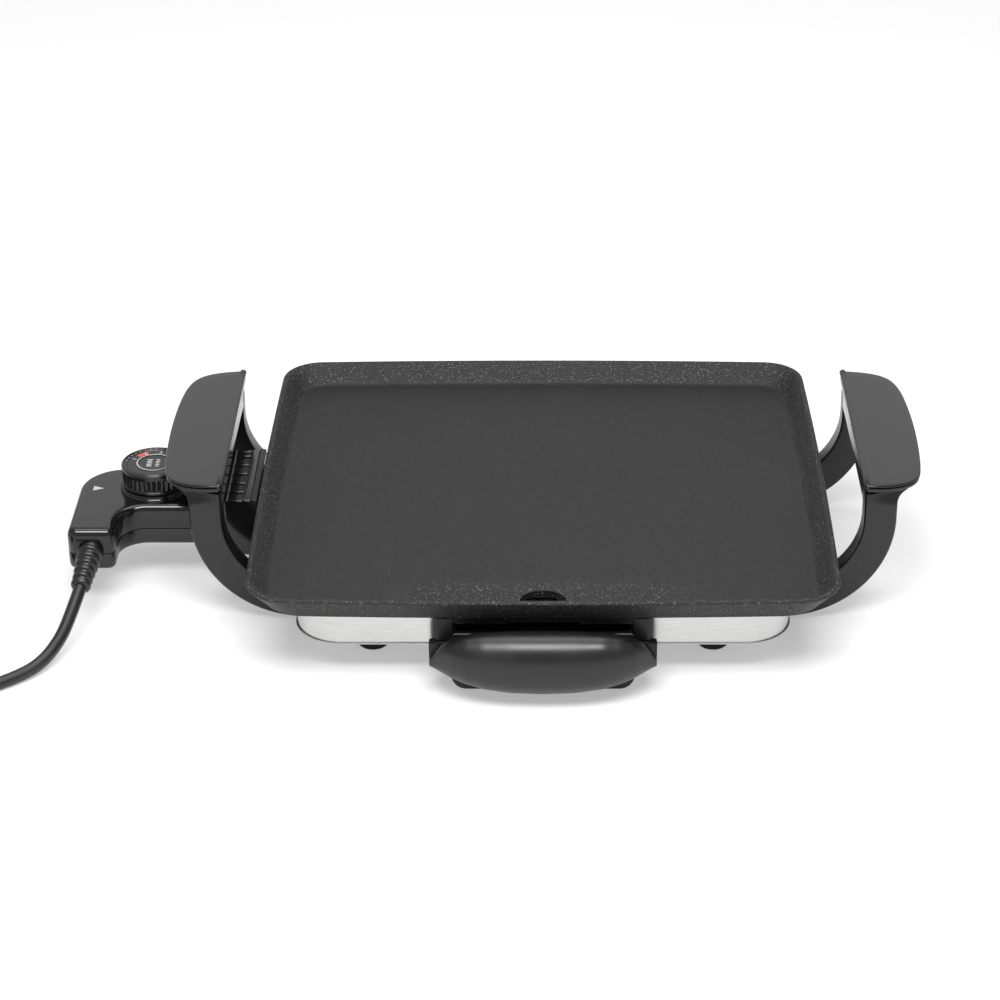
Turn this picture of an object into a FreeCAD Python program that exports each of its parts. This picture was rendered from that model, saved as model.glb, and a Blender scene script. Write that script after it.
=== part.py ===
import FreeCAD, Part
import Sketcher
import math
import os

# Electric table-top griddle: a cast non-stick plate on a sheet-metal base, two
# side handles, a drip tray that slides out of the front, and a plug-in
# thermostat probe with its dial and mains lead.
# Frame: +Z up, X across the width, -Y is the front (drip tray side).
# Millimetres. The origin is on the table, under the centre of the object's
# footprint (plate, handles, tray and probe, without the lead).
# All driving sizes are cells of the spreadsheet "Dims"; sketches, pads and
# primitives are bound to them with expressions.

doc = FreeCAD.newDocument("electric_griddle")
sheet = doc.addObject("Spreadsheet::Sheet", "Dims")
V = FreeCAD.Vector
ORIGIN = V(0, 0, 0)

CELLS = [
    # name, value, what it is
    ("plate_cx", 30.25, "plate centre from the origin along X"),
    ("plate_cy", 11.8, "plate centre from the origin along Y"),
    ("plate_top", 63.0, "height of the rim of the griddle plate"),
    ("plate_floor", 51.0, "height of the cooking surface"),
    ("plate_under", 47.5, "underside of the plate"),
    ("plate_wide", 353.0, "rim width at its widest, mid side"),
    ("plate_deep", 328.8, "rim depth at its deepest, mid side"),
    ("plate_corner", 25.5, "rim corner radius"),
    ("bow_side", 3300.0, "radius of the bowed left and right sides"),
    ("bow_front", 2300.0, "radius of the bowed front and back sides"),
    ("skirt_in", 8.0, "inward draft of the outer wall, each side"),
    ("rim_flat", 3.0, "width of the flat rim"),
    ("wall_run", 9.5, "horizontal run of the sloping inner wall"),
    ("drain_half", 2.0, "half length of the straight part of the drain slot"),
    ("drain_rad", 12.0, "end radius of the drain slot"),
    ("drain_y", 137.0, "drain slot centre, in front of the plate centre"),
    ("spout_low", 44.0, "lower end of the drain spout"),
    ("band_wide", 294.6, "width of the steel band"),
    ("band_deep", 284.0, "depth of the steel band"),
    ("band_corner", 28.0, "corner radius of the band"),
    ("band_thick", 0.8, "sheet thickness of the band"),
    ("pan_low", 22.2, "underside of the base pan"),
    ("pan_thick", 0.8, "sheet thickness of the base pan"),
    ("bay_half", 54.0, "half width of the tray bay"),
    ("gap_half", 58.0, "half width of the gap in the band above the tray bay"),
    ("bay_back", 58.0, "back edge of the tray bay, in front of the centre"),
    ("foot_x", 103.0, "feet from the centre, along X"),
    ("foot_y", 104.0, "feet from the centre, along Y"),
    ("foot_rad", 9.6, "foot radius"),
    ("arm_in", 63.0, "inner face of a handle arm from the centre plane"),
    ("arm_wide", 14.0, "width of a handle arm"),
    ("arm_bend_out", 68.0, "outer bend radius of a handle arm"),
    ("arm_bend_in", 47.0, "inner bend radius of a handle arm"),
    ("arm_out", 214.0, "outer face of a handle arm"),
    ("arm_inner", 193.6, "inner face of a handle arm"),
    ("arm_low", 1.8, "lowest face of a handle arm"),
    ("arm_end", 108.0, "inner end of a handle arm"),
    ("beam_low", 74.0, "underside of the grip beam"),
    ("beam_top", 88.6, "top of the grip beam"),
    ("beam_half", 77.0, "half length of the grip beam"),
    ("cap_in", 192.6, "inner edge of the grip cap"),
    ("cap_out", 232.5, "outer edge of the grip cap"),
    ("cap_front", 78.0, "front end of the grip cap from the centre plane"),
    ("cap_rear", 82.4, "rear end of the grip cap from the centre plane"),
    ("cap_top", 94.4, "top of the bead on the grip cap"),
    ("guard_out", 199.5, "outer face of the socket guard"),
    ("guard_half", 34.5, "half length of the socket guard"),
    ("guard_top", 59.3, "top of the socket guard"),
    ("pin_y", 11.0, "heater pins from the centre plane"),
    ("pin_z", 42.2, "height of heater, pins and sensor"),
    ("pin_rad", 2.4, "heater pin radius"),
    ("tube_rad", 3.3, "heater tube radius"),
    ("probe_top", 52.5, "top of the probe body"),
    ("probe_low", 25.0, "underside of the probe body"),
    ("probe_part", 36.6, "parting line of the probe shells"),
    ("probe_left", 293.0, "outer side of the probe body"),
    ("probe_leg", 264.0, "inner side of the leg that holds the lead"),
    ("probe_front", 59.0, "face that the lead leaves, in front of the centre"),
    ("probe_half", 26.5, "half width of the probe body"),
    ("probe_neck", 199.0, "where the body steps down to its nose"),
    ("probe_nose", 181.0, "end face of the nose"),
    ("nose_half", 18.5, "half width of the nose"),
    ("shell_wall", 2.2, "wall of the probe shells"),
    ("knob_x", 244.5, "dial axis, left of the plate centre"),
    ("knob_rad", 20.0, "dial radius"),
    ("knob_low", 56.2, "underside of the dial"),
    ("knob_top", 69.8, "top of the dial"),
    ("shaft_rad", 3.0, "dial shaft radius"),
    ("rod_rad", 3.0, "sensor rod radius"),
    ("rod_tip", 106.0, "tip of the sensor rod"),
    ("tray_half", 50.0, "half width of the drip tray"),
    ("tray_low", 5.0, "underside of the drip tray"),
    ("tray_top", 29.5, "top of the drip tray"),
    ("tray_front", 152.0, "front of the drip tray, in front of the centre"),
    ("tray_back", 62.0, "back of the drip tray"),
    ("tray_wall", 1.2, "wall of the drip tray"),
    ("grip_half", 66.0, "half width of the tray grip"),
    ("grip_out", 25.0, "how far the tray grip stands out"),
    ("grip_z", 30.6, "height of the tray grip's middle"),
    ("grip_rad", 17.6, "half height of the tray grip"),
    ("cord_dia", 8.0, "diameter of the mains lead"),
    ("coil_in", 30.6, "inner radius of the stored coil"),
    ("coil_out", 56.0, "outer radius of the stored coil"),
    ("coil_high", 16.0, "height of the stored coil"),
    ("plug_rad", 18.5, "radius of the mains plug"),
]
VALUE = {}
sheet.set("A1", "name")
sheet.set("B1", "value")
sheet.set("C1", "meaning")
for row, (alias, value, meaning) in enumerate(CELLS, start=2):
    sheet.set("A%d" % row, alias)
    sheet.set("B%d" % row, repr(float(value)))
    sheet.set("C%d" % row, meaning)
    sheet.setAlias("B%d" % row, alias)
    VALUE[alias] = float(value)
doc.recompute()


class Q:
    """A size: its value now, and the expression that binds it to the sheet."""

    def __init__(self, value, text=None):
        self.v = float(value)
        self.e = repr(float(value)) if text is None else text

    @property
    def bound(self):
        return "Dims." in self.e

    def __add__(self, o):
        o = q(o)
        return Q(self.v + o.v, "(%s + %s)" % (self.e, o.e))

    __radd__ = __add__

    def __sub__(self, o):
        o = q(o)
        return Q(self.v - o.v, "(%s - %s)" % (self.e, o.e))

    def __rsub__(self, o):
        return q(o) - self

    def __mul__(self, k):
        return Q(self.v * k, "(%s * %r)" % (self.e, float(k)))

    __rmul__ = __mul__

    def __neg__(self):
        return Q(-self.v, "(0 - %s)" % self.e)


def q(x):
    return x if isinstance(x, Q) else Q(x)


def D(alias):
    return Q(VALUE[alias], "Dims." + alias)


CX, CY = D("plate_cx"), D("plate_cy")


def bind(obj, prop, size):
    size = q(size)
    if size.bound:
        obj.setExpression(prop, size.e)


def place(obj, x=0, y=0, z=0, rot=None):
    """Placement of a sub-part, from the plate's centre on the table."""
    x, y, z = q(x) + CX, q(y) + CY, q(z)
    obj.Placement = FreeCAD.Placement(V(x.v, y.v, z.v), rot or FreeCAD.Rotation())
    bind(obj, "Placement.Base.x", x)
    bind(obj, "Placement.Base.y", y)
    bind(obj, "Placement.Base.z", z)


# ---------------------------------------------------------------- sketches
def new_body(name):
    b = doc.addObject("PartDesign::Body", name)
    b.Label = name
    return b


def sketch(body, role, off=0, name="sketch"):
    s = body.newObject("Sketcher::SketchObject", body.Name + "_" + name)
    plane = [f for f in body.Origin.OriginFeatures if f.Role == role][0]
    s.AttachmentSupport = [(plane, "")]
    s.MapMode = "FlatFace"
    off = q(off)
    s.AttachmentOffset = FreeCAD.Placement(V(0, 0, off.v), FreeCAD.Rotation())
    bind(s, "AttachmentOffset.Base.z", off)
    return s


def con(s, *args):
    """Adds a constraint; a Q as last value is bound to the sheet."""
    size = args[-1]
    if isinstance(size, Q):
        i = s.addConstraint(Sketcher.Constraint(*args[:-1], size.v))
        if size.bound:
            s.setExpression("Constraints[%d]" % i, size.e)
        return i
    return s.addConstraint(Sketcher.Constraint(*args))


def ccw_arc(s, c, r, a, b):
    """Arc about c from a to b the short way round; returns it and the end that is at a."""
    t0, t1 = math.atan2(a[1] - c[1], a[0] - c[0]), math.atan2(b[1] - c[1], b[0] - c[0])
    first = 1
    if (t1 - t0) % (2 * math.pi) > math.pi:
        t0, t1, first = t1, t0, 2
    if t1 < t0:
        t1 += 2 * math.pi
    g = s.addGeometry(Part.ArcOfCircle(Part.Circle(V(c[0], c[1], 0), V(0, 0, 1), r), t0, t1))
    return g, first


def ortho(s, pts, radii=None):
    """Closed outline of level and upright lines; radii[i] rounds corner i."""
    pts = [(q(x), q(y)) for x, y in pts]
    n = len(pts)
    radii = [None if not r else q(r) for r in (radii or [None] * n)]
    xy = [(x.v, y.v) for x, y in pts]

    def unit(a, b):
        d = math.hypot(b[0] - a[0], b[1] - a[1])
        return (b[0] - a[0]) / d, (b[1] - a[1]) / d

    cut_a, cut_b = [], []
    for i in range(n):
        u, w = unit(xy[i], xy[i - 1]), unit(xy[i], xy[(i + 1) % n])
        r = radii[i].v if radii[i] else 0.0
        cut_a.append((xy[i][0] + u[0] * r, xy[i][1] + u[1] * r))
        cut_b.append((xy[i][0] + w[0] * r, xy[i][1] + w[1] * r))
    lines = []
    for i in range(n):
        a, b = cut_b[i], cut_a[(i + 1) % n]
        lines.append(s.addGeometry(Part.LineSegment(V(a[0], a[1], 0), V(b[0], b[1], 0))))
    for i in range(n):
        before, here = lines[i - 1], lines[i]
        if not radii[i]:
            con(s, "Coincident", before, 2, here, 1)
            continue
        r = radii[i].v
        a, b = cut_a[i], cut_b[i]
        c = (a[0] + b[0] - xy[i][0], a[1] + b[1] - xy[i][1])
        g, first = ccw_arc(s, c, r, a, b)
        con(s, "Tangent", before, 2, g, first)
        con(s, "Tangent", g, 3 - first, here, 1)
        con(s, "Radius", g, radii[i])
    for i in range(n):
        j = (i + 1) % n
        if abs(xy[i][1] - xy[j][1]) < 1e-9:
            con(s, "Horizontal", lines[i])
            con(s, "DistanceY", -1, 1, lines[i], 1, pts[i][1])
        else:
            con(s, "Vertical", lines[i])
            con(s, "DistanceX", -1, 1, lines[i], 1, pts[i][0])
    return lines


def rect(s, x0, x1, y0, y1, r=None):
    return ortho(s, [(x0, y0), (x1, y0), (x1, y1), (x0, y1)], [r] * 4)


def poly(s, pts):
    """Closed outline through points, each held by its two coordinates."""
    pts = [(q(x), q(y)) for x, y in pts]
    n = len(pts)
    g = []
    for i in range(n):
        a, b = pts[i], pts[(i + 1) % n]
        g.append(s.addGeometry(Part.LineSegment(V(a[0].v, a[1].v, 0), V(b[0].v, b[1].v, 0))))
    for i in range(n):
        con(s, "Coincident", g[i - 1], 2, g[i], 1)
    for i in range(n):
        for kind, c in (("DistanceX", pts[i][0]), ("DistanceY", pts[i][1])):
            if abs(c.v) < 1e-9:
                con(s, "PointOnObject", g[i], 1, -2 if kind == "DistanceX" else -1)
            else:
                con(s, kind, -1, 1, g[i], 1, c)
    return g


def circle(s, x, y, r):
    x, y, r = q(x), q(y), q(r)
    g = s.addGeometry(Part.Circle(V(x.v, y.v, 0), V(0, 0, 1), r.v))
    con(s, "Radius", g, r)
    for kind, c in (("DistanceX", x), ("DistanceY", y)):
        if abs(c.v) < 1e-9:
            con(s, "PointOnObject", g, 3, -2 if kind == "DistanceX" else -1)
        else:
            con(s, kind, -1, 1, g, 3, c)
    return g


def bowed(s, wide, deep, r, rx, ry):
    """Rounded rectangle about the origin whose four sides are long arcs."""
    wide, deep, r, rx, ry = q(wide), q(deep), q(r), q(rx), q(ry)
    ax, ay = rx.v - wide.v / 2, ry.v - deep.v / 2  # side arcs' centres
    # corner arc centre: at rx - r from (-ax, 0) and ry - r from (0, -ay)
    p, t = rx.v - r.v, ry.v - r.v
    x, y = wide.v / 2 - r.v, deep.v / 2 - r.v
    for _ in range(60):
        x = -ax + math.sqrt(p * p - y * y)
        y = -ay + math.sqrt(t * t - x * x)
    a1 = math.atan2(y, x + ax)
    a2 = math.atan2(y + ay, x)
    pi = math.pi

    def arc(cx, cy, rad, lo, hi):
        return s.addGeometry(Part.ArcOfCircle(Part.Circle(V(cx, cy, 0), V(0, 0, 1), rad), lo, hi))

    sides = [
        arc(-ax, 0, rx.v, -a1, a1),
        arc(0, -ay, ry.v, a2, pi - a2),
        arc(ax, 0, rx.v, pi - a1, pi + a1),
        arc(0, ay, ry.v, pi + a2, 2 * pi - a2),
    ]
    corners = [
        arc(x, y, r.v, a1, a2),
        arc(-x, y, r.v, pi - a2, pi - a1),
        arc(-x, -y, r.v, pi + a1, pi + a2),
        arc(x, -y, r.v, 2 * pi - a2, 2 * pi - a1),
    ]
    for i in range(4):
        con(s, "Tangent", sides[i], 2, corners[i], 1)
        con(s, "Tangent", corners[i], 2, sides[(i + 1) % 4], 1)
    con(s, "Radius", sides[0], rx)
    con(s, "Equal", sides[0], sides[2])
    con(s, "Radius", sides[1], ry)
    con(s, "Equal", sides[1], sides[3])
    con(s, "Radius", corners[0], r)
    for c in corners[1:]:
        con(s, "Equal", corners[0], c)
    con(s, "PointOnObject", sides[0], 3, -1)
    con(s, "PointOnObject", sides[2], 3, -1)
    con(s, "PointOnObject", sides[1], 3, -2)
    con(s, "PointOnObject", sides[3], 3, -2)
    con(s, "DistanceX", sides[0], 3, -1, 1, rx - wide * 0.5)
    con(s, "DistanceX", -1, 1, sides[2], 3, rx - wide * 0.5)
    con(s, "DistanceY", sides[1], 3, -1, 1, ry - deep * 0.5)
    con(s, "DistanceY", -1, 1, sides[3], 3, ry - deep * 0.5)


# ---------------------------------------------------------------- features
def pad(body, s, length, back=False, mid=False, name="pad"):
    f = body.newObject("PartDesign::Pad", body.Name + "_" + name)
    f.Profile = s
    length = q(length)
    f.Length = length.v
    bind(f, "Length", length)
    if mid:
        f.SideType = "Symmetric"
    f.Reversed = back
    body.Tip = f
    return f


def pocket(body, s, length=None, back=False, mid=False, name="pocket"):
    """Cuts against the sketch's normal, or along it when back is set."""
    doc.recompute()
    before = body.Shape.Volume
    f = body.newObject("PartDesign::Pocket", body.Name + "_" + name)
    f.Profile = s
    if length is None:
        f.Type = "ThroughAll"
        f.SideType = "Symmetric"
    else:
        length = q(length)
        f.Length = length.v
        bind(f, "Length", length)
        if mid:
            f.SideType = "Symmetric"
    f.Reversed = back
    body.Tip = f
    doc.recompute()
    if not body.Shape.Volume < before - 1e-3:
        raise ValueError("%s cuts nothing" % f.Name)
    return f


def loft(body, sections, cut=False, name="loft"):
    kind = "PartDesign::SubtractiveLoft" if cut else "PartDesign::AdditiveLoft"
    f = body.newObject(kind, body.Name + "_" + name)
    f.Profile = sections[0]
    f.Sections = sections[1:]
    f.Ruled = True
    body.Tip = f
    return f


def revolve(body, s, cut=False, name="rev"):
    kind = "PartDesign::Groove" if cut else "PartDesign::Revolution"
    f = body.newObject(kind, body.Name + "_" + name)
    f.Profile = s
    f.ReferenceAxis = (s, ["V_Axis"])
    f.Angle = 360.0
    body.Tip = f
    return f


def dress(body, kind, size, keep, name):
    """Rounds or breaks the edges of the body's shape that keep() accepts."""
    doc.recompute()
    base = body.Tip
    edges = ["Edge%d" % (i + 1) for i, e in enumerate(base.Shape.Edges) if keep(e)]
    if not edges:
        raise ValueError("no edge for %s" % name)
    f = body.newObject("PartDesign::" + kind, body.Name + "_" + name)
    f.Base = (base, edges)
    if kind == "Fillet":
        f.Radius = size
    else:
        f.Size = size
    body.Tip = f
    doc.recompute()
    if "Invalid" in f.State or "Error" in f.State or f.Shape.isNull():
        raise ValueError("%s failed" % f.Name)
    return f


def level(e, z, tol=0.02):
    b = e.BoundBox
    return abs(b.ZMin - z) < tol and abs(b.ZMax - z) < tol


# ---------------------------------------------------------------- primitives
AX = {
    "z": FreeCAD.Rotation(),
    "x": FreeCAD.Rotation(V(0, 1, 0), 90),
    "-y": FreeCAD.Rotation(V(1, 0, 0), 90),
    "y": FreeCAD.Rotation(V(1, 0, 0), -90),
}


def box(name, x0, x1, y0, y1, z0, z1):
    b = doc.addObject("Part::Box", name)
    x0, x1, y0, y1, z0, z1 = [q(c) for c in (x0, x1, y0, y1, z0, z1)]
    for prop, size in (("Length", x1 - x0), ("Width", y1 - y0), ("Height", z1 - z0)):
        setattr(b, prop, size.v)
        bind(b, prop, size)
    place(b, x0, y0, z0)
    return b


def cyl(name, x, y, z, r, length, axis="z"):
    c = doc.addObject("Part::Cylinder", name)
    r, length = q(r), q(length)
    c.Radius, c.Height = r.v, length.v
    bind(c, "Radius", r)
    bind(c, "Height", length)
    place(c, x, y, z, AX[axis])
    return c


def cone(name, x, y, z, r1, r2, length, axis="z"):
    c = doc.addObject("Part::Cone", name)
    c.Radius1, c.Radius2, c.Height = q(r1).v, q(r2).v, q(length).v
    place(c, x, y, z, AX[axis])
    return c


def fuse(name, shapes):
    f = doc.addObject("Part::MultiFuse", name)
    f.Shapes = shapes
    return f


def cut(name, base, tools):
    c = doc.addObject("Part::Cut", name)
    c.Base = base
    c.Tool = tools[0] if len(tools) == 1 else fuse(name + "_tools", tools)
    return c


def group(name, shapes):
    g = doc.addObject("Part::Compound", name)
    g.Links = shapes
    return g


KEPT = []


def keep(obj, name=None):
    if name:
        obj.Label = name
    KEPT.append(obj)
    return obj


# ================================================================ base body
# --- griddle plate: drafted outer wall, flat rim, sloping inner wall, shallow
# run-off at the front that ends in a slotted drain with a short spout below
plate = new_body("griddle_plate")
lip = D("plate_top") - 2.5
k_in = D("skirt_in") * 2.0
bottom = sketch(plate, "XY_Plane", D("plate_under"), "skirt_low")
bowed(bottom, D("plate_wide") - k_in, D("plate_deep") - k_in, D("plate_corner") + 3.0, D("bow_side"), D("bow_front"))
mouth = sketch(plate, "XY_Plane", lip, "skirt_high")
bowed(mouth, D("plate_wide"), D("plate_deep"), D("plate_corner"), D("bow_side"), D("bow_front"))
loft(plate, [bottom, mouth], name="skirt")
rim = sketch(plate, "XY_Plane", lip, "rim")
bowed(rim, D("plate_wide"), D("plate_deep"), D("plate_corner"), D("bow_side"), D("bow_front"))
pad(plate, rim, D("plate_top") - lip, name="rim_pad")
spout = sketch(plate, "XY_Plane", D("spout_low"), "spout")
wall = 2.6
dx, dy, dr = D("drain_half"), D("drain_y"), D("drain_rad")
rect(spout, -dx - dr - wall, dx + dr + wall, -dy - dr - wall, -dy + dr + wall, dr + wall - 0.1)
pad(plate, spout, D("plate_under") - D("spout_low") + 1.0, name="spout_pad")
top_in = sketch(plate, "XY_Plane", D("plate_top") + 0.2, "recess_high")
rf = D("rim_flat") * 2.0
bowed(top_in, D("plate_wide") - rf, D("plate_deep") - rf, D("plate_corner") - 2.5, D("bow_side"), D("bow_front"))
floor_in = sketch(plate, "XY_Plane", D("plate_floor"), "recess_low")
rr = (D("rim_flat") + D("wall_run")) * 2.0
bowed(floor_in, D("plate_wide") - rr, D("plate_deep") - rr, D("plate_corner") - 8.5, D("bow_side"), D("bow_front"))
loft(plate, [top_in, floor_in], cut=True, name="recess")
run_a = sketch(plate, "XY_Plane", D("plate_floor") + 0.05, "runoff_high")
poly(run_a, [(-100, -150.5), (100, -150.5), (88, -121), (-88, -121)])
run_b = sketch(plate, "XY_Plane", D("plate_floor") - 2.0, "runoff_low")
poly(run_b, [(-40, -149.5), (40, -149.5), (30, -128), (-30, -128)])
loft(plate, [run_a, run_b], cut=True, name="runoff")
hole = sketch(plate, "XY_Plane", D("plate_floor") + 4.0, "drain")
rect(hole, -dx - dr, dx + dr, -dy - dr, -dy + dr, dr - 0.1)
pocket(plate, hole, 20, name="drain_cut")
dress(plate, "Fillet", 1.2, lambda e: level(e, VALUE["plate_top"]) and e.Length > 20, "rim_edges")
place(plate)
keep(plate)

# --- steel band around the base, open at the front for the tray and drain,
# with a window on the left for the heater pins
band = new_body("steel_band")
ring = sketch(band, "XY_Plane", D("pan_low") + D("pan_thick"), "outer")
bw, bd, bt = D("band_wide") * 0.5, D("band_deep") * 0.5, D("band_thick")
band_low = D("pan_low") + D("pan_thick")
band_high = D("plate_under") - band_low
rect(ring, -bw, bw, -bd, bd, D("band_corner"))
pad(band, ring, band_high)
inner = sketch(band, "XY_Plane", D("plate_under"), "inner")
rect(inner, bt - bw, bw - bt, bt - bd, bd - bt, D("band_corner") - bt)
pocket(band, inner, band_high + 1.0, name="inside")
front = sketch(band, "XZ_Plane", bd + 2.0, "front_window")
rect(front, -D("gap_half"), D("gap_half"), 10, 60)
pocket(band, front, 6, name="front_cut")
side = sketch(band, "YZ_Plane", -bw - 2.0, "side_window")
rect(side, -30, 30, 26, 50)
pocket(band, side, 6, back=True, name="side_cut")
place(band)
keep(band)

# --- base pan: flat sheet under the band, cut away for the tray bay
pan = new_body("base_pan")
ps = sketch(pan, "XY_Plane", D("pan_low"), "outline")
rect(ps, -bw - 0.9, bw + 0.9, -bd - 0.9, bd + 0.9, D("band_corner") + 0.9)
pad(pan, ps, D("pan_thick"))
bay = sketch(pan, "XY_Plane", D("pan_low") + 4.0, "bay")
rect(bay, -D("bay_half"), D("bay_half"), -bd - 4.0, -D("bay_back"))
pocket(pan, bay, 8, name="bay_cut")
STUDS = [(-72, 88), (72, 88), (-72, -34), (72, -34)]
HANDLE_X = [118.0, 134.0]
arm_mid = D("arm_in") + D("arm_wide") * 0.5
ph = sketch(pan, "XY_Plane", D("pan_low") + 4.0, "holes")
for sx in (-1, 1):
    for sy in (-1, 1):
        circle(ph, D("foot_x") * sx, D("foot_y") * sy, 2.2)
        for hx in HANDLE_X:
            circle(ph, hx * sx, arm_mid * sy, 2.2)
for x, y in STUDS:
    circle(ph, x, y, 2.8)
pocket(pan, ph, 8, name="hole_cut")
vents = sketch(pan, "XY_Plane", D("pan_low") + 4.0, "vents")
for i in range(5):
    rect(vents, -40, 40, 10 + 14 * i, 15 + 14 * i, 2.4)
pocket(pan, vents, 8, name="vent_cut")
place(pan)
keep(pan)

# --- heat reflector above the tray bay, notched for the drain spout
refl = new_body("heat_reflector")
rs = sketch(refl, "XY_Plane", 36.2, "outline")
ortho(rs, [(-132, -112), (132, -112), (132, 130), (-132, 130)], [16, 16, 16, 16])
pad(refl, rs, 0.6)
rh = sketch(refl, "XY_Plane", 40.0, "holes")
for x, y in STUDS:
    circle(rh, x, y, 3.0)
pocket(refl, rh, 6, name="hole_cut")
place(refl)
keep(refl)

# --- tubular heating element, one bent loop clamped under the plate
heat = new_body("heating_element")
path = sketch(heat, "XY_Plane", D("pin_z"), "path")
HL = [(-146.0, 11.0), (-112.0, 11.0), (-112.0, 104.0), (112.0, 104.0), (112.0, -84.0), (-112.0, -84.0), (-112.0, -11.0), (-146.0, -11.0)]
HR = [0, 14, 18, 18, 18, 18, 14, 0]
prev_line = None
prev_pt = HL[0]
geo = []
for i in range(1, len(HL)):
    a, b = HL[i - 1], HL[i]
    d = math.hypot(b[0] - a[0], b[1] - a[1])
    ux, uy = (b[0] - a[0]) / d, (b[1] - a[1]) / d
    p0 = V(a[0] + ux * HR[i - 1], a[1] + uy * HR[i - 1], 0)
    p1 = V(b[0] - ux * HR[i], b[1] - uy * HR[i], 0)
    g = path.addGeometry(Part.LineSegment(p0, p1))
    geo.append((g, p0, p1))
    level_line = abs(a[1] - b[1]) < 1e-9
    con(path, "Horizontal" if level_line else "Vertical", g)
    if level_line:
        at = D("pin_y") * (1 if a[1] > 0 else -1) if abs(a[1]) == 11.0 else Q(a[1])
        con(path, "DistanceY", -1, 1, g, 1, at)
    else:
        con(path, "DistanceX", -1, 1, g, 1, Q(a[0]))
for i in range(1, len(geo)):
    (g0, _, e0), (g1, s1, _) = geo[i - 1], geo[i]
    corner = V(HL[i][0], HL[i][1], 0)
    c = e0 + s1 - corner
    g, first = ccw_arc(path, (c.x, c.y), HR[i], (e0.x, e0.y), (s1.x, s1.y))
    con(path, "Tangent", g0, 2, g, first)
    con(path, "Tangent", g, 3 - first, g1, 1)
    con(path, "Radius", g, Q(HR[i]))
con(path, "DistanceX", -1, 1, geo[0][0], 1, Q(-146))
con(path, "DistanceX", -1, 1, geo[-1][0], 2, Q(-146))
section = sketch(heat, "YZ_Plane", -146, "section")
circle(section, D("pin_y"), D("pin_z"), D("tube_rad"))
pipe = heat.newObject("PartDesign::AdditivePipe", "heating_element_pipe")
pipe.Profile = section
pipe.Spine = path
heat.Tip = pipe
place(heat)
keep(heat)

# --- heater pins, their ceramic rings and the plate that carries them
py, pz, pr = D("pin_y"), D("pin_z"), D("pin_rad")
pins = []
for s_, sgn in (("a", 1), ("b", -1)):
    body_ = cyl("pin_%s_rod" % s_, -194.0, py * sgn, pz, pr, 48.0, "x")
    tip_ = cone("pin_%s_tip" % s_, -196.0, py * sgn, pz, 1.3, 2.4, 2.0, "x")
    pins.append(fuse("pin_" + s_, [tip_, body_]))
keep(group("terminal_pins", pins), "terminal_pins")
rings = []
for s_, sgn in (("a", 1), ("b", -1)):
    o_ = cyl("ring_%s_out" % s_, -150.2, py * sgn, pz, 4.8, 4.2, "x")
    i_ = cyl("ring_%s_in" % s_, -152.0, py * sgn, pz, 2.5, 9.0, "x")
    rings.append(cut("ring_" + s_, o_, [i_]))
keep(group("pin_insulators", rings), "pin_insulators")
tp = box("terminal_plate_blank", -150.0, -148.2, -29.0, 29.0, D("pan_low") + 1.2, D("plate_under") - 0.3)
tools = [cyl("terminal_plate_h%d" % i, -152.0, y, pz, r, 6.0, "x") for i, (y, r) in enumerate([(py, 4.8), (-py, 4.8), (0, 4.7)])]
keep(cut("terminal_plate", tp, tools), "terminal_plate")

# --- sensor tube that receives the probe's rod, and its clamp
st_o = cyl("sensor_tube_out", -150.2, 0, pz, 4.6, 52.2, "x")
st_i = cyl("sensor_tube_in", -153.0, 0, pz, D("rod_rad") + 0.4, 52.0, "x")
keep(cut("sensor_tube", st_o, [st_i]), "sensor_tube")
sc = box("sensor_clamp_blank", -130, -120, -7, 7, 37.2, D("plate_under"))
keep(cut("sensor_clamp", sc, [cyl("sensor_clamp_hole", -131, 0, pz, 4.6, 12, "x")]), "sensor_clamp")
clips = []
CL = [(112, 40, "y"), (112, -30, "y"), (-112, 60, "y"), (-112, -50, "y"), (-30, 104, "x"), (40, 104, "x"), (0, -84, "x")]
for i, (x, y, ax) in enumerate(CL):
    b_ = box("clip_%d_blank" % i, x - 6.5, x + 6.5, y - 6.5, y + 6.5, 38.4, D("plate_under"))
    h_ = cyl("clip_%d_hole" % i, x - (8 if ax == "x" else 0), y - (8 if ax == "y" else 0), pz, D("tube_rad"), 16, ax)
    clips.append(cut("clip_%d" % i, b_, [h_]))
keep(group("element_clips", clips), "element_clips")

# --- studs that hold plate, reflector and pan together, and their nuts
keep(group("plate_studs", [cyl("stud_%d" % i, x, y, 19.4, 2.5, D("plate_under") - 19.4) for i, (x, y) in enumerate(STUDS)]), "plate_studs")
nuts = []
for i, (x, y) in enumerate(STUDS):
    n_ = doc.addObject("Part::Prism", "nut_%d_hex" % i)
    n_.Polygon = 6
    n_.Circumradius = 4.6
    n_.Height = 2.2
    place(n_, x, y, 20.0)
    nuts.append(cut("nut_%d" % i, n_, [cyl("nut_%d_hole" % i, x, y, 19.0, 2.5, 5.0)]))
keep(group("stud_nuts", nuts), "stud_nuts")

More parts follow.
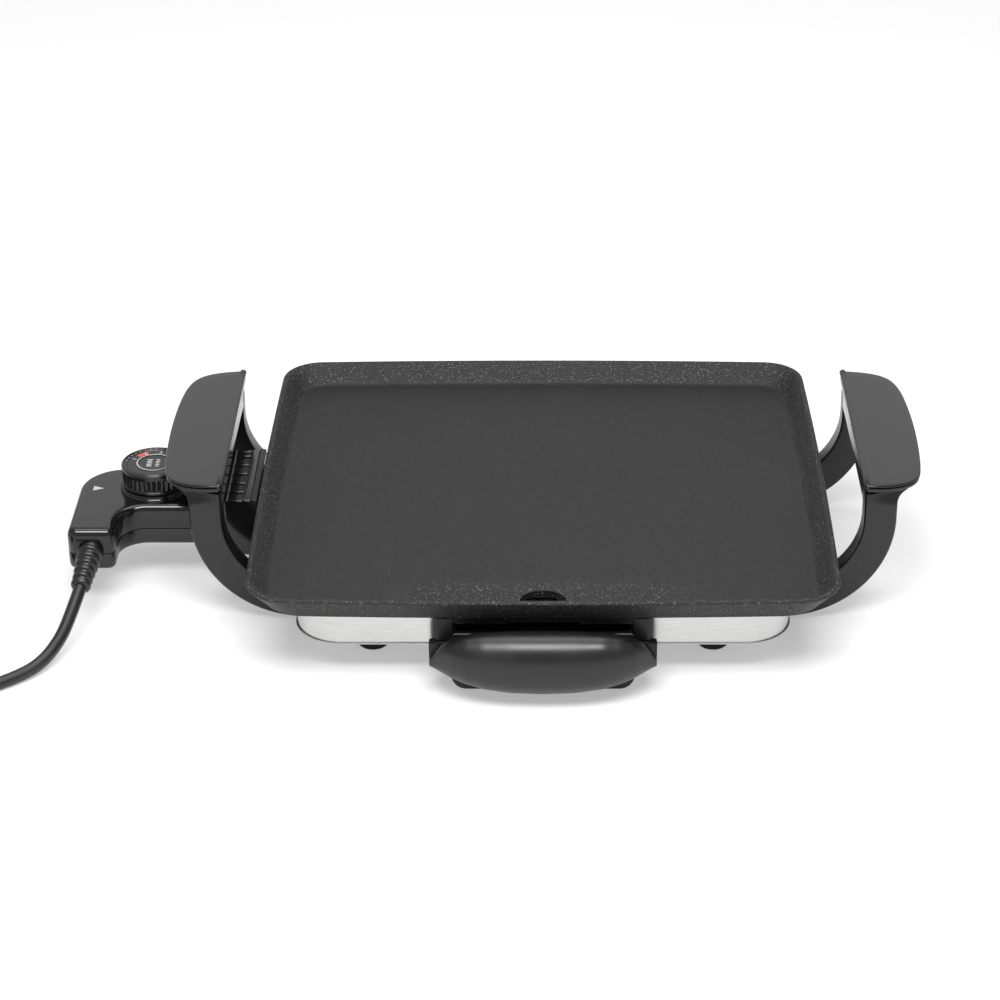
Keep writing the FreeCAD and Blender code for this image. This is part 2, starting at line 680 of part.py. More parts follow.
# --- socket guard on the left: hood over the pins, open towards the probe
guard = new_body("socket_guard")
gs = sketch(guard, "XZ_Plane", 0, "profile")
go, gt = D("guard_out"), D("guard_top")
ortho(gs, [(-go, 22.4), (-go, gt), (-181, gt), (-181, gt + 1.7), (-177.7, gt + 1.7), (-177.7, 47.2), (-150.4, 47.2), (-150.4, 23.4), (-164, 23.4), (-164, 22.4)])
pad(guard, gs, D("guard_half") * 2.0, mid=True)
ga = sketch(guard, "YZ_Plane", -go - 1.0, "mouth")
rect(ga, -30.5, 30.5, 24.0, 54.4)
pocket(guard, ga, go + 1.0 - 180.0, back=True, name="mouth_cut")
gb = sketch(guard, "YZ_Plane", -181.0, "inner")
rect(gb, -25.0, 25.0, 25.6, 45.4)
pocket(guard, gb, 40.0, back=True, name="inner_cut")
dress(guard, "Fillet", 2.5, lambda e: abs(e.BoundBox.XMin + VALUE["guard_out"]) < 0.02 and abs(e.BoundBox.XMax + VALUE["guard_out"]) < 0.02 and (level(e, VALUE["guard_top"]) or e.BoundBox.ZLength > 30 and abs(abs(e.BoundBox.YMin) - VALUE["guard_half"]) < 0.02), "front_edges")
place(guard)
keep(guard)

# --- drawer housing: two cheeks and a back bar around the tray opening
hous = new_body("drawer_housing")
hs = sketch(hous, "XY_Plane", 33.0, "plan")
HW, HF = 65.0, 156.0
ortho(hs, [(-HW, -HF), (-53, -HF), (-53, -bd - 1.6), (-54.5, -bd - 1.6), (-54.5, -bd - 0.2), (-HW, -bd - 0.2)], [4, 0, 0, 0, 0, 0])
pad(hous, hs, D("plate_under") - 33.0)
place(hous)
# right cheek and the bridge are added to the same moulding
hs2 = sketch(hous, "XY_Plane", 44.6, "bridge")
ortho(hs2, [(-55, -155.0), (55, -155.0), (55, -152.3), (-55, -152.3)])
pad(hous, hs2, D("plate_under") - 44.6, name="bridge_pad")
hs3 = sketch(hous, "XY_Plane", 33.0, "plan_right")
ortho(hs3, [(53, -HF), (HW, -HF), (HW, -bd - 0.2), (54.5, -bd - 0.2), (54.5, -bd - 1.6), (53, -bd - 1.6)], [0, 4, 0, 0, 0, 0])
pad(hous, hs3, D("plate_under") - 33.0, name="right_pad")
keep(hous)

# --- tray rails (channels that carry the tray's side flanges) and bay roof
for side_name, sgn in (("left", -1), ("right", 1)):
    a, b = (51.6, 60.0) if sgn > 0 else (-60.0, -51.6)
    rb = box("rail_%s_blank" % side_name, a, b, -140.0, -46.0, D("pan_low") + D("pan_thick"), 34.6)
    ga_, gb_ = (51.0, 57.4) if sgn > 0 else (-57.4, -51.0)
    groove = box("rail_%s_groove" % side_name, ga_, gb_, -141.0, -45.0, 26.8, 30.1)
    keep(cut("tray_rail_" + side_name, rb, [groove]), "tray_rail_" + side_name)
roof = box("bay_roof_blank", -60, 60, -140.0, -46.0, 34.6, 35.6)
keep(cut("tray_bay_roof", roof, [box("bay_roof_notch", -22, 22, -141.0, -118.0, 34.0, 36.0)]), "tray_bay_roof")

# --- feet, and the screws that hold them from inside
for fy, yname in ((-1, "front"), (1, "rear")):
    for fx, xname in ((-1, "left"), (1, "right")):
        foot = new_body("foot_%s_%s" % (yname, xname))
        fs = sketch(foot, "XZ_Plane", 0, "profile")
        R = D("foot_rad")
        poly(fs, [(0, 0), (R - 1.2, 0), (R, 1.2), (R, D("pan_low")), (1.8, D("pan_low")), (1.8, 10), (0, 10)])
        revolve(foot, fs)
        place(foot, D("foot_x") * fx, D("foot_y") * fy, 0)
        keep(foot)
fscrews = []
for i, (fx, fy) in enumerate([(-1, -1), (1, -1), (-1, 1), (1, 1)]):
    x, y = D("foot_x") * fx, D("foot_y") * fy
    fscrews.append(fuse("foot_screw_%d" % i, [cyl("foot_screw_%d_shank" % i, x, y, 10.0, 1.8, 14.0), cyl("foot_screw_%d_head" % i, x, y, 23.0, 3.6, 2.2)]))
keep(group("foot_screws", fscrews), "foot_screws")

# --- handle frames: two curved arms from under the pan, joined by a beam
ain, aw = D("arm_in"), D("arm_wide")
for side_name, sgn in (("left", -1), ("right", 1)):
    hf = new_body("handle_frame_" + side_name)
    for k, off in (("front", ain), ("rear", -(ain + aw))):
        s_ = sketch(hf, "XZ_Plane", off, k)
        xo, xi, xe = D("arm_out") * sgn, D("arm_inner") * sgn, D("arm_end") * sgn
        top_ = D("beam_low") + 4.0
        ortho(s_, [(xe, D("arm_low")), (xo, D("arm_low")), (xo, top_), (xi, top_), (xi, D("pan_low")), (xe, D("pan_low"))],
              [4, D("arm_bend_out"), 0, 0, D("arm_bend_in"), 0])
        pad(hf, s_, aw, name=k + "_pad")
        if k == "front":
            bs = sketch(hf, "XY_Plane", D("beam_low"), "beam")
            lo_, hi_ = (D("arm_inner"), D("arm_out")) if sgn > 0 else (-D("arm_out"), -D("arm_inner"))
            rect(bs, lo_, hi_, -D("beam_half"), D("beam_half"))
            pad(hf, bs, D("beam_top") - D("beam_low"), name="beam_pad")
    hh = sketch(hf, "XY_Plane", D("pan_low") + 2.0, "screw_holes")
    for hx in HANDLE_X:
        for sy in (-1, 1):
            circle(hh, hx * sgn, arm_mid * sy, 2.2)
    pocket(hf, hh, 30, name="screw_cut")
    hc = sketch(hf, "XY_Plane", 8.0, "counterbores")
    for hx in HANDLE_X:
        for sy in (-1, 1):
            circle(hc, hx * sgn, arm_mid * sy, 4.4)
    pocket(hf, hc, 12, name="counter_cut")
    hg = sketch(hf, "XY_Plane", D("beam_top") + 1.0, "cap_holes")
    for sy in (-1, 1):
        circle(hg, 203.5 * sgn, 45.0 * sy, 2.2)
    pocket(hf, hg, 20, name="cap_hole_cut")
    hk = sketch(hf, "XY_Plane", 78.0, "cap_counters")
    for sy in (-1, 1):
        circle(hk, 203.5 * sgn, 45.0 * sy, 4.2)
    pocket(hf, hk, 6, name="cap_counter_cut")
    place(hf)
    keep(hf)
    cap = new_body("grip_cap_" + side_name)
    cs = sketch(cap, "XY_Plane", D("beam_top"), "plan")
    ci, co, cf_, cr_ = D("cap_in") * sgn, D("cap_out") * sgn, D("cap_front"), D("cap_rear")
    ortho(cs, [(ci, -cf_), (co, -cf_), (co, cr_), (ci, cr_)], [1.5, 28, 26, 1.5])
    pad(cap, cs, D("cap_top") - D("beam_top"))
    cw = sketch(cap, "XZ_Plane", 0, "slope")
    ct = D("cap_top")
    a_, b_ = D("cap_in") + 2.6, D("cap_out") + 1.0
    poly(cw, [(a_ * sgn, ct - 0.7), (a_ * sgn, ct + 1.0), (b_ * sgn, ct + 1.0), (b_ * sgn, ct - 3.4)])
    pocket(cap, cw, 200, mid=True, name="slope_cut")
    chs = sketch(cap, "XY_Plane", D("beam_top"), "screw_holes")
    for sy in (-1, 1):
        circle(chs, 203.5 * sgn, 45.0 * sy, 1.8)
    pocket(cap, chs, 2.6, back=True, name="screw_cut")
    place(cap)
    keep(cap)
hscrews = []
gscrews = []
n = 0
for sx in (-1, 1):
    for sy in (-1, 1):
        for hx in HANDLE_X:
            x, y = hx * sx, arm_mid * sy
            hscrews.append(fuse("handle_screw_%d" % n, [cyl("handle_screw_%d_s" % n, x, y, 7.0, 2.0, 17.5), cyl("handle_screw_%d_h" % n, x, y, 5.4, 4.0, 2.6)]))
            n += 1
        x, y = 203.5 * sx, 45.0 * sy
        gscrews.append(fuse("grip_screw_%d" % n, [cyl("grip_screw_%d_s" % n, x, y, 77.0, 1.8, 13.8), cyl("grip_screw_%d_h" % n, x, y, 75.4, 3.8, 2.6)]))
keep(group("handle_screws", hscrews), "handle_screws")
keep(group("grip_screws", gscrews), "grip_screws")

# ================================================================ drip tray
tray = new_body("drip_tray")
th, tl, tt = D("tray_half"), D("tray_low"), D("tray_top")
tf, tb, tw = D("tray_front"), D("tray_back"), D("tray_wall")
t1 = sketch(tray, "XY_Plane", tl, "plan")
rect(t1, -th, th, -tf, -tb, 6)
pad(tray, t1, tt - tl)
t2 = sketch(tray, "XY_Plane", 27.6, "flanges")
rect(t2, -56.8, 56.8, -138.5, -tb - 6.0)
pad(tray, t2, tt - 27.6, name="flange_pad")
dress(tray, "Fillet", 3.5, lambda e: level(e, VALUE["tray_low"]), "low_edges")
t3 = sketch(tray, "XY_Plane", tt + 1.0, "inside")
rect(t3, tw - th, th - tw, tw - tf, -tb - tw, 5)
pocket(tray, t3, tt - tl + 1.0 - tw, name="inside_cut")
t4 = sketch(tray, "XZ_Plane", tf + 1.0, "screw_holes")
for sx in (-1, 1):
    circle(t4, 30 * sx, 22.0, 2.0)
pocket(tray, t4, 4, name="screw_cut")
place(tray)
keep(tray)

front_ = new_body("tray_front")
f1 = sketch(front_, "XZ_Plane", tf, "lower")
ortho(f1, [(-54, 3.0), (54, 3.0), (54, 30.0), (-54, 30.0)], [8, 8, 0, 0])
pad(front_, f1, 11.0, name="lower_pad")
f2 = sketch(front_, "XZ_Plane", tf, "bar")
rect(f2, -67, 67, 16.0, 32.2)
pad(front_, f2, 6.0, name="bar_pad")
f3 = sketch(front_, "XZ_Plane", tf + 12.0, "screw_holes")
for sx in (-1, 1):
    circle(f3, 30 * sx, 22.0, 2.0)
pocket(front_, f3, 14, name="screw_cut")
place(front_)
keep(front_)

# grip: lofted through five ellipses across the width, cut flat at the back
# where it is screwed to the tray front
ROT = FreeCAD.Rotation(V(1, 1, 1), 120)
grip_y = tf + 11.0
stations = [(-1.0, 0.42, 0.40), (-0.9, 0.74, 0.72), (-0.6, 0.95, 0.95), (0.0, 1.0, 1.0), (0.6, 0.95, 0.95), (0.9, 0.74, 0.72), (1.0, 0.42, 0.40)]
sections = []
for i, (fx, ky, kz) in enumerate(stations):
    e_ = doc.addObject("Part::Ellipse", "grip_section_%d" % i)
    ma, mi = D("grip_out") * ky, D("grip_rad") * kz
    e_.MajorRadius, e_.MinorRadius = ma.v, mi.v
    bind(e_, "MajorRadius", ma)
    bind(e_, "MinorRadius", mi)
    place(e_, D("grip_half") * fx, -grip_y, D("grip_z"), ROT)
    sections.append(e_)
gl = doc.addObject("Part::Loft", "grip_loft")
gl.Sections = sections
gl.Solid = True
gl.Ruled = False
gbk = box("grip_back", -90, 90, -grip_y, 0, 0, 70)
gholes = [cyl("grip_hole_%d" % i, x, -grip_y, 22.0, 1.8, 9.0, "-y") for i, x in enumerate((-30, 30))]
keep(cut("tray_grip", gl, [gbk] + gholes), "tray_grip")
tscr = []
for i, x in enumerate((-30, 30)):
    sh_ = cyl("tray_screw_%d_s" % i, x, -tf + 1.4, 22.0, 1.8, 20.0, "-y")
    hd_ = cyl("tray_screw_%d_h" % i, x, -tf + 3.4, 22.0, 3.6, 2.2, "-y")
    tscr.append(fuse("tray_screw_%d" % i, [hd_, sh_]))
keep(group("tray_screws", tscr), "tray_screws")

# ================================================================ probe
pl, pg, pf, phf = D("probe_left"), D("probe_leg"), D("probe_front"), D("probe_half")
nk, ns, nh, sw = D("probe_neck"), D("probe_nose"), D("nose_half"), D("shell_wall")


def probe_outline(s, inset):
    w = Q(0) if inset is None else inset
    z0 = 0.0 if inset is None else inset.v
    pts = [(-pl + w, -pf + w), (-pg - w, -pf + w), (-pg - w, -phf + w), (-nk - w, -phf + w), (-nk - w, -nh + w), (-ns - w, -nh + w), (-ns - w, nh - w), (-nk - w, nh - w), (-nk - w, phf - w), (-pl + w, phf - w)]
    ortho(s, pts, [6 - z0, 5 - z0, 17 + z0, 2.5, 1.5, 3 - z0 * 0.5, 3 - z0 * 0.5, 1.5, 6 - z0, 27 - z0])


kx = D("knob_x")
RELIEF_Z = 38.0
top = new_body("probe_top_shell")
ts = sketch(top, "XY_Plane", D("probe_part"), "plan")
probe_outline(ts, None)
pad(top, ts, D("probe_top") - D("probe_part"))
dress(top, "Fillet", 2.4, lambda e: level(e, VALUE["probe_top"]), "top_edges")
ti = sketch(top, "XY_Plane", D("probe_part"), "inside")
probe_outline(ti, sw)
pocket(top, ti, D("probe_top") - D("probe_part") - sw, back=True, name="inside_cut")
tc = sketch(top, "XY_Plane", D("probe_top") - 0.5, "collar")
circle(tc, -kx, 0, D("knob_rad") + 2.5)
pad(top, tc, 2.0, name="collar_pad")
tc2 = sketch(top, "XY_Plane", D("probe_top") + 1.5, "collar_step")
circle(tc2, -kx, 0, D("knob_rad") - 0.4)
pad(top, tc2, 1.6, name="collar_step_pad")
tk = sketch(top, "XY_Plane", D("probe_top") + 6.0, "shaft_hole")
circle(tk, -kx, 0, D("shaft_rad") + 0.35)
pocket(top, tk, 12, name="shaft_cut")
tn = sketch(top, "YZ_Plane", -ns + 2.0, "nose_holes")
circle(tn, py, pz, 3.0)
circle(tn, -py, pz, 3.0)
circle(tn, 0, pz, D("rod_rad"))
pocket(top, tn, 8, name="nose_cut")
tr = sketch(top, "XZ_Plane", pf + 2.0, "relief_hole")
circle(tr, -(pl + pg) * 0.5, RELIEF_Z, 7.2)
pocket(top, tr, 6, name="relief_cut")
place(top)
keep(top)

low = new_body("probe_bottom_shell")
ls = sketch(low, "XY_Plane", D("probe_low"), "plan")
probe_outline(ls, None)
pad(low, ls, D("probe_part") - D("probe_low"))
dress(low, "Fillet", 2.4, lambda e: level(e, VALUE["probe_low"]), "low_edges")
li = sketch(low, "XY_Plane", D("probe_part"), "inside")
probe_outline(li, sw)
pocket(low, li, D("probe_part") - D("probe_low") - sw, name="inside_cut")
lr = sketch(low, "XZ_Plane", pf + 2.0, "relief_hole")
circle(lr, -(pl + pg) * 0.5, RELIEF_Z, 7.2)
pocket(low, lr, 6, name="relief_cut")
PS = [(-280.0, -38.0), (-280.0, 14.0), (-208.0, 20.0), (-208.0, -20.0)]
lh = sketch(low, "XY_Plane", D("probe_low") - 1.0, "screw_holes")
for x, y in PS:
    circle(lh, x, y, 1.7)
pocket(low, lh, 6, back=True, name="screw_cut")
place(low)
keep(low)

# probe internals
shell_floor = D("probe_low") + sw
bosses = []
for i, (x, y) in enumerate(PS):
    o_ = cyl("boss_%d_o" % i, x, y, shell_floor, 3.4, D("probe_top") - sw - shell_floor)
    i_ = cyl("boss_%d_i" % i, x, y, shell_floor - 1.0, 1.45, 16.0)
    bosses.append(cut("boss_%d" % i, o_, [i_]))
keep(group("probe_posts", bosses), "probe_posts")
pscr = []
for i, (x, y) in enumerate(PS):
    pscr.append(fuse("probe_screw_%d" % i, [cyl("probe_screw_%d_s" % i, x, y, D("probe_low") - 0.2, 1.4, 14.0), cyl("probe_screw_%d_h" % i, x, y, D("probe_low") - 1.6, 2.8, 1.6)]))
keep(group("probe_screws", pscr), "probe_screws")
rod0 = -214.0
rod_s = cyl("sensor_rod_shaft", rod0, 0, pz, D("rod_rad"), -D("rod_tip") - 2.0 - rod0, "x")
rod_t = cone("sensor_rod_tip", -D("rod_tip") - 2.0, 0, pz, VALUE["rod_rad"], 1.6, 2.0, "x")
keep(fuse("sensor_rod", [rod_s, rod_t]), "sensor_rod")
cont = []
for i, sgn in enumerate((1, -1)):
    o_ = cyl("contact_%d_o" % i, -202.0, py * sgn, pz, 3.5, 18.4, "x")
    i_ = cyl("contact_%d_i" % i, -200.0, py * sgn, pz, 2.5, 20.0, "x")
    lug = box("contact_%d_lug" % i, -214.0, -201.5, py * sgn - 2.5, py * sgn + 2.5, pz - 0.6, pz + 0.6)
    cont.append(fuse("contact_%d" % i, [cut("contact_%d_tube" % i, o_, [i_]), lug]))
keep(group("probe_contacts", cont), "probe_contacts")
fr = box("thermostat_frame_blank", -262.0, -214.5, -16.0, 16.0, 28.0, 34.0)
fr_up = box("thermostat_frame_post", -218.5, -214.5, -16.0, 16.0, 33.0, 47.0)
fr_all = fuse("thermostat_frame_solid", [fr, fr_up])
frt = [cyl("thermostat_frame_rod", -220.0, 0, pz, D("rod_rad"), 8, "x"), cyl("thermostat_frame_shaft", -kx, 0, 26.0, D("shaft_rad") + 0.4, 12)]
keep(cut("thermostat_frame", fr_all, frt), "thermostat_frame")
b1 = box("blade_lower", -258.0, -219.0, 8.0, 12.0, 36.0, 36.5)
b2 = box("blade_upper", -258.0, -219.0, -12.0, -8.0, 38.6, 39.1)
p1_ = box("blade_post_a", -222.5, -219.0, 8.0, 12.0, 34.0, 36.0)
p2_ = box("blade_post_b", -222.5, -219.0, -12.0, -8.0, 34.0, 38.6)
keep(group("switch_blades", [fuse("blade_a", [b1, p1_]), fuse("blade_b", [b2, p2_])]), "switch_blades")
lead = cyl("cord_clamp_bar", -286.0, -44.0, 33.0, 2.2, 15.0, "x")
keep(lead, "cord_clamp")

# --- strain relief: ribbed taper, tilted down towards the table
REL = V(-278.5, -58.2, RELIEF_Z)
RDIR = V(-0.10, -0.95, -0.30).normalize()
REL_LEN = 31.0
relief = new_body("strain_relief")
rv = sketch(relief, "XZ_Plane", 0, "profile")
cr = D("cord_dia") * 0.5
prof = [(cr, -4.0), (8.4, -4.0), (8.4, -1.6), (6.8, -1.6), (6.8, 0.8)]
for i in range(5):
    zc = 2.6 + 5.2 * i
    r_ = 8.1 - 0.42 * i
    prof += [(r_, zc - 1.0), (r_, zc + 1.4), (r_ - 1.7, zc + 2.0), (r_ - 1.7, zc + 3.2)]
prof += [(6.0, REL_LEN - 2.2), (5.2, REL_LEN), (cr, REL_LEN)]
poly(rv, prof)
revolve(relief, rv)
place(relief, REL.x, REL.y, REL.z, FreeCAD.Rotation(V(0, 0, 1), RDIR))
keep(relief)

# --- mains lead: short run to the table, stored coil, tail to the plug
TIP = REL + RDIR * REL_LEN
COIL_C = V(-396.0, -120.0, 0)
R_OUT = 52.0
ROUTE = [
    TIP,
    TIP + V(-3.5, -18.0, -8.0),
    TIP + V(-8.5, -35.0, -16.5),
    TIP + V(-18.5, -52.0, -23.0),
    TIP + V(-34.5, -66.5, 0),
    V(-334.0, COIL_C.y - 45.5, 0),
    V(-355.0, COIL_C.y - R_OUT + 0.3, 0),
    V(-378.0, COIL_C.y - R_OUT - 0.2, 0),
]
floor_z = VALUE["cord_dia"] / 2
for i in range(4, len(ROUTE)):
    ROUTE[i].z = floor_z
ROUTE[3].z = 5.4
TAIL = [
    V(COIL_C.x - R_OUT, COIL_C.y + 6.0, 12.0),
    V(COIL_C.x - R_OUT - 0.6, COIL_C.y + 16.0, 13.2),
    V(COIL_C.x - R_OUT - 0.2, COIL_C.y + 27.0, 16.6),
    V(COIL_C.x - R_OUT, COIL_C.y + 37.0, 18.5),
]


def tube(name, pts, radius):
    """Round lead along straight runs joined by tangent arcs."""
    edges, at, radii, length = [], pts[0], [], 0.0
    for i in range(1, len(pts) - 1):
        a, b, c = pts[i - 1], pts[i], pts[i + 1]
        u, w = (a - b), (c - b)
        run = min(u.Length, w.Length)
        u.normalize()
        w.normalize()
        turn = math.pi - u.getAngle(w)
        rad = 0.45 * run / math.tan(turn / 2)
        radii.append(rad)
        p, r = b + u * 0.45 * run, b + w * 0.45 * run
        bis = (u + w).normalize()
        mid = b + bis * (rad / math.cos(turn / 2) - rad)
        edges.append(Part.LineSegment(at, p).toShape())
        arc = Part.Arc(p, mid, r).toShape()
        edges.append(arc)
        at = r
    edges.append(Part.LineSegment(at, pts[-1]).toShape())
    length = sum(e.Length for e in edges)
    wire = Part.Wire(edges)
    d = (pts[1] - pts[0]).normalize()
    ring_ = Part.Wire([Part.Circle(pts[0], d, radius).toShape()])
    solid = wire.makePipeShell([ring_], True, False)
    print("%s: length %.1f, radii %s, volume ratio %.4f" % (name, length, ["%.0f" % r for r in radii], solid.Volume / (math.pi * radius ** 2 * length)))
    f = doc.addObject("Part::Feature", name)
    f.Shape = solid
    f.Label = name
    f.Placement = FreeCAD.Placement(V(VALUE["plate_cx"], VALUE["plate_cy"], 0), FreeCAD.Rotation())
    return f


keep(tube("cord_run", ROUTE, VALUE["cord_dia"] / 2))
coil = new_body("cord_coil")
cc = sketch(coil, "XZ_Plane", 0, "profile")
rect(cc, D("coil_in"), D("coil_out"), 0, D("coil_high"), 3.5)
revolve(coil, cc)
place(coil, COIL_C.x, COIL_C.y, 0)
keep(coil)
keep(tube("cord_tail", TAIL, VALUE["cord_dia"] / 2))

# --- mains plug lying beside the coil, pins pointing back
PLUG = V(COIL_C.x - R_OUT, COIL_C.y + 37.0, VALUE["plug_rad"])
plug = new_body("plug_body")
pp = sketch(plug, "XZ_Plane", 0, "profile")
gr = D("plug_rad")
poly(pp, [(0, 0), (5.4, 0), (7.8, 18.0), (12.0, 20.0), (gr - 1.5, 28.0), (gr, 33.0), (gr, 47.0), (gr - 1.0, 48.0), (0, 48.0)])
revolve(plug, pp)
place(plug, PLUG.x, PLUG.y, PLUG.z, AX["y"])
keep(plug)
ppins = []
for i, s_ in enumerate((-9.5, 9.5)):
    ppins.append(fuse("plug_pin_%d" % i, [cyl("plug_pin_%d_s" % i, PLUG.x + s_, PLUG.y + 48.0, PLUG.z, 2.4, 17.0, "y"), cone("plug_pin_%d_t" % i, PLUG.x + s_, PLUG.y + 65.0, PLUG.z, 2.4, 1.2, 2.0, "y")]))
keep(group("plug_pins", ppins), "plug_pins")

# ================================================================ dial
knob = new_body("knob")
kn = sketch(knob, "XZ_Plane", 0, "profile")
kr, kl, kt = D("knob_rad"), D("knob_low"), D("knob_top")
poly(kn, [(0, kl + 3.0), (D("shaft_rad") + 0.01, kl + 3.0), (D("shaft_rad") + 0.01, kl), (kr, kl), (kr, kl + 9.6), (kr - 1.0, kl + 10.4), (kr - 3.4, kt), (kr - 4.6, kt), (kr - 4.6, kt - 0.6), (0, kt - 0.6)])
revolve(knob, kn)
place(knob, -kx, 0, 0)
keep(knob)
dial = cyl("knob_dial_disc", -kx, 0, kt - 0.6, kr - 4.7, 0.5)
keep(dial, "knob_dial")
shaft = cyl("knob_shaft_rod", -kx, 0, 29.0, D("shaft_rad"), kl + 3.0 - 29.0)
keep(shaft, "knob_shaft")

# ================================================================ check, write
doc.recompute()
bad = [o.Name for o in doc.Objects if "Invalid" in o.State or "Error" in o.State]
if bad:
    raise ValueError("failed objects: %s" % bad)
os.makedirs("parts", exist_ok=True)
names = set()
for o in KEPT:
    shape = o.Shape
    if shape.isNull() or not shape.isValid() or shape.Volume <= 0:
        raise ValueError("bad shape: %s" % o.Label)
    if o.Label in names:
        raise ValueError("name used twice: %s" % o.Label)
    names.add(o.Label)
    shape.exportStep("parts/%s.step" % o.Label)
    b = shape.BoundBox
    print("%-22s solids %2d  X %8.1f %8.1f  Y %8.1f %8.1f  Z %6.1f %6.1f  vol %9.0f" % (o.Label, len(shape.Solids), b.XMin, b.XMax, b.YMin, b.YMax, b.ZMin, b.ZMax, shape.Volume))
print(len(names), "sub-parts written")
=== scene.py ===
import math
import random

import bmesh
import bpy
from mathutils import Matrix, Quaternion, Vector


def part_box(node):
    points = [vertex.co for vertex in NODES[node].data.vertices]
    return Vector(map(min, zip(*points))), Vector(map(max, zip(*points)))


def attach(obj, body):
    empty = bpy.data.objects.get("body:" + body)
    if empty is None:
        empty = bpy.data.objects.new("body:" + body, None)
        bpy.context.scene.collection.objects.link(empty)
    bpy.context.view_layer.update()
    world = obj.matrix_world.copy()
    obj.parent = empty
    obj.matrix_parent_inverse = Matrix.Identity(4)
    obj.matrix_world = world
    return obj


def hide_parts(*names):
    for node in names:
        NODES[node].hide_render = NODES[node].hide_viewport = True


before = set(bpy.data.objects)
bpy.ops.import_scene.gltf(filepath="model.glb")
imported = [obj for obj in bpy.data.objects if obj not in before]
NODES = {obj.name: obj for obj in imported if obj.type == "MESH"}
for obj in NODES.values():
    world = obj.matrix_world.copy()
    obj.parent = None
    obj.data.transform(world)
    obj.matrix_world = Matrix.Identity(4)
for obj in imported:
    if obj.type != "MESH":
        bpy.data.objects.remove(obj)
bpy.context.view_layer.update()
scene = bpy.context.scene

# the griddle plate's centre in the row frame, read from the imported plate
lo_, hi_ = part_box("griddle_plate")
PX, PY = (lo_.x + hi_.x) / 2, (lo_.y + hi_.y) / 2


def P(x, y, z):
    """Millimetres from the plate's centre on the table, to the row frame in metres."""
    return Vector((PX + x / 1000.0, PY + y / 1000.0, z / 1000.0))


# ------------------------------------------------------------------ camera
cam_data = bpy.data.cameras.new("camera")
cam = bpy.data.objects.new("camera", cam_data)
scene.collection.objects.link(cam)
cam.location = (PX, PY - 1.5508, 0.8741)
cam.rotation_euler = (math.radians(61.8), 0, 0)
cam_data.lens = 99.96
cam_data.sensor_width = 36.0
cam_data.shift_x = -0.043
cam_data.clip_start, cam_data.clip_end = 0.05, 50
scene.camera = cam


# --------------------------------------------------------------- materials
def material(name):
    m = bpy.data.materials.new(name)
    m.use_nodes = True
    nt = m.node_tree
    nt.nodes.clear()
    out = nt.nodes.new("ShaderNodeOutputMaterial")
    b = nt.nodes.new("ShaderNodeBsdfPrincipled")
    nt.links.new(b.outputs[0], out.inputs[0])
    tc = nt.nodes.new("ShaderNodeTexCoord")
    return m, nt, b, tc.outputs["Object"]


def noise(nt, vec, scale, detail=3.0, rough=0.5, stretch=None):
    if stretch:
        mp = nt.nodes.new("ShaderNodeMapping")
        mp.inputs["Scale"].default_value = stretch
        nt.links.new(vec, mp.inputs["Vector"])
        vec = mp.outputs[0]
    n = nt.nodes.new("ShaderNodeTexNoise")
    n.inputs["Scale"].default_value = scale
    n.inputs["Detail"].default_value = detail
    n.inputs["Roughness"].default_value = rough
    nt.links.new(vec, n.inputs["Vector"])
    return n.outputs["Fac"]


def ramp(nt, fac, stops):
    r = nt.nodes.new("ShaderNodeValToRGB")
    el = r.color_ramp.elements
    while len(el) > 1:
        el.remove(el[-1])
    for i, (pos, col) in enumerate(stops):
        e = el[0] if i == 0 else el.new(pos)
        e.position = pos
        e.color = (*(col if isinstance(col, (tuple, list)) else (col, col, col)), 1)
    nt.links.new(fac, r.inputs[0])
    return r.outputs[0]


def rng(nt, fac, a, b, lo=0.0, hi=1.0):
    r = nt.nodes.new("ShaderNodeMapRange")
    r.inputs["From Min"].default_value = lo
    r.inputs["From Max"].default_value = hi
    r.inputs["To Min"].default_value = a
    r.inputs["To Max"].default_value = b
    nt.links.new(fac, r.inputs["Value"])
    return r.outputs[0]


def bump(nt, b, height, strength, distance, normal=None):
    n = nt.nodes.new("ShaderNodeBump")
    n.inputs["Strength"].default_value = strength
    n.inputs["Distance"].default_value = distance
    nt.links.new(height, n.inputs["Height"])
    if normal is not None:
        nt.links.new(normal, n.inputs["Normal"])
    nt.links.new(n.outputs[0], b.inputs["Normal"])
    return n.outputs[0]


def plastic(name, col, rough, fine=900.0, bump_d=0.00002, rough_var=0.06, tint=0.25, ior=1.5, spec=0.5, coat=0.0):
    """Moulded plastic: slight mottling of colour and gloss over a fine mould grain."""
    m, nt, b, vec = material(name)
    big = noise(nt, vec, 38.0, 4.0)
    small = noise(nt, vec, fine, 3.0, 0.6)
    c0 = tuple(x * (1 - tint) for x in col)
    c1 = tuple(x * (1 + tint) for x in col)
    nt.links.new(ramp(nt, big, [(0.3, c0), (0.7, c1)]), b.inputs["Base Color"])
    nt.links.new(rng(nt, big, max(0.02, rough - rough_var), rough + rough_var, 0.3, 0.7), b.inputs["Roughness"])
    b.inputs["IOR"].default_value = ior
    b.inputs["Specular IOR Level"].default_value = spec
    if coat:
        b.inputs["Coat Weight"].default_value = coat
        b.inputs["Coat Roughness"].default_value = 0.04
    bump(nt, b, small, 0.35, bump_d)
    return m


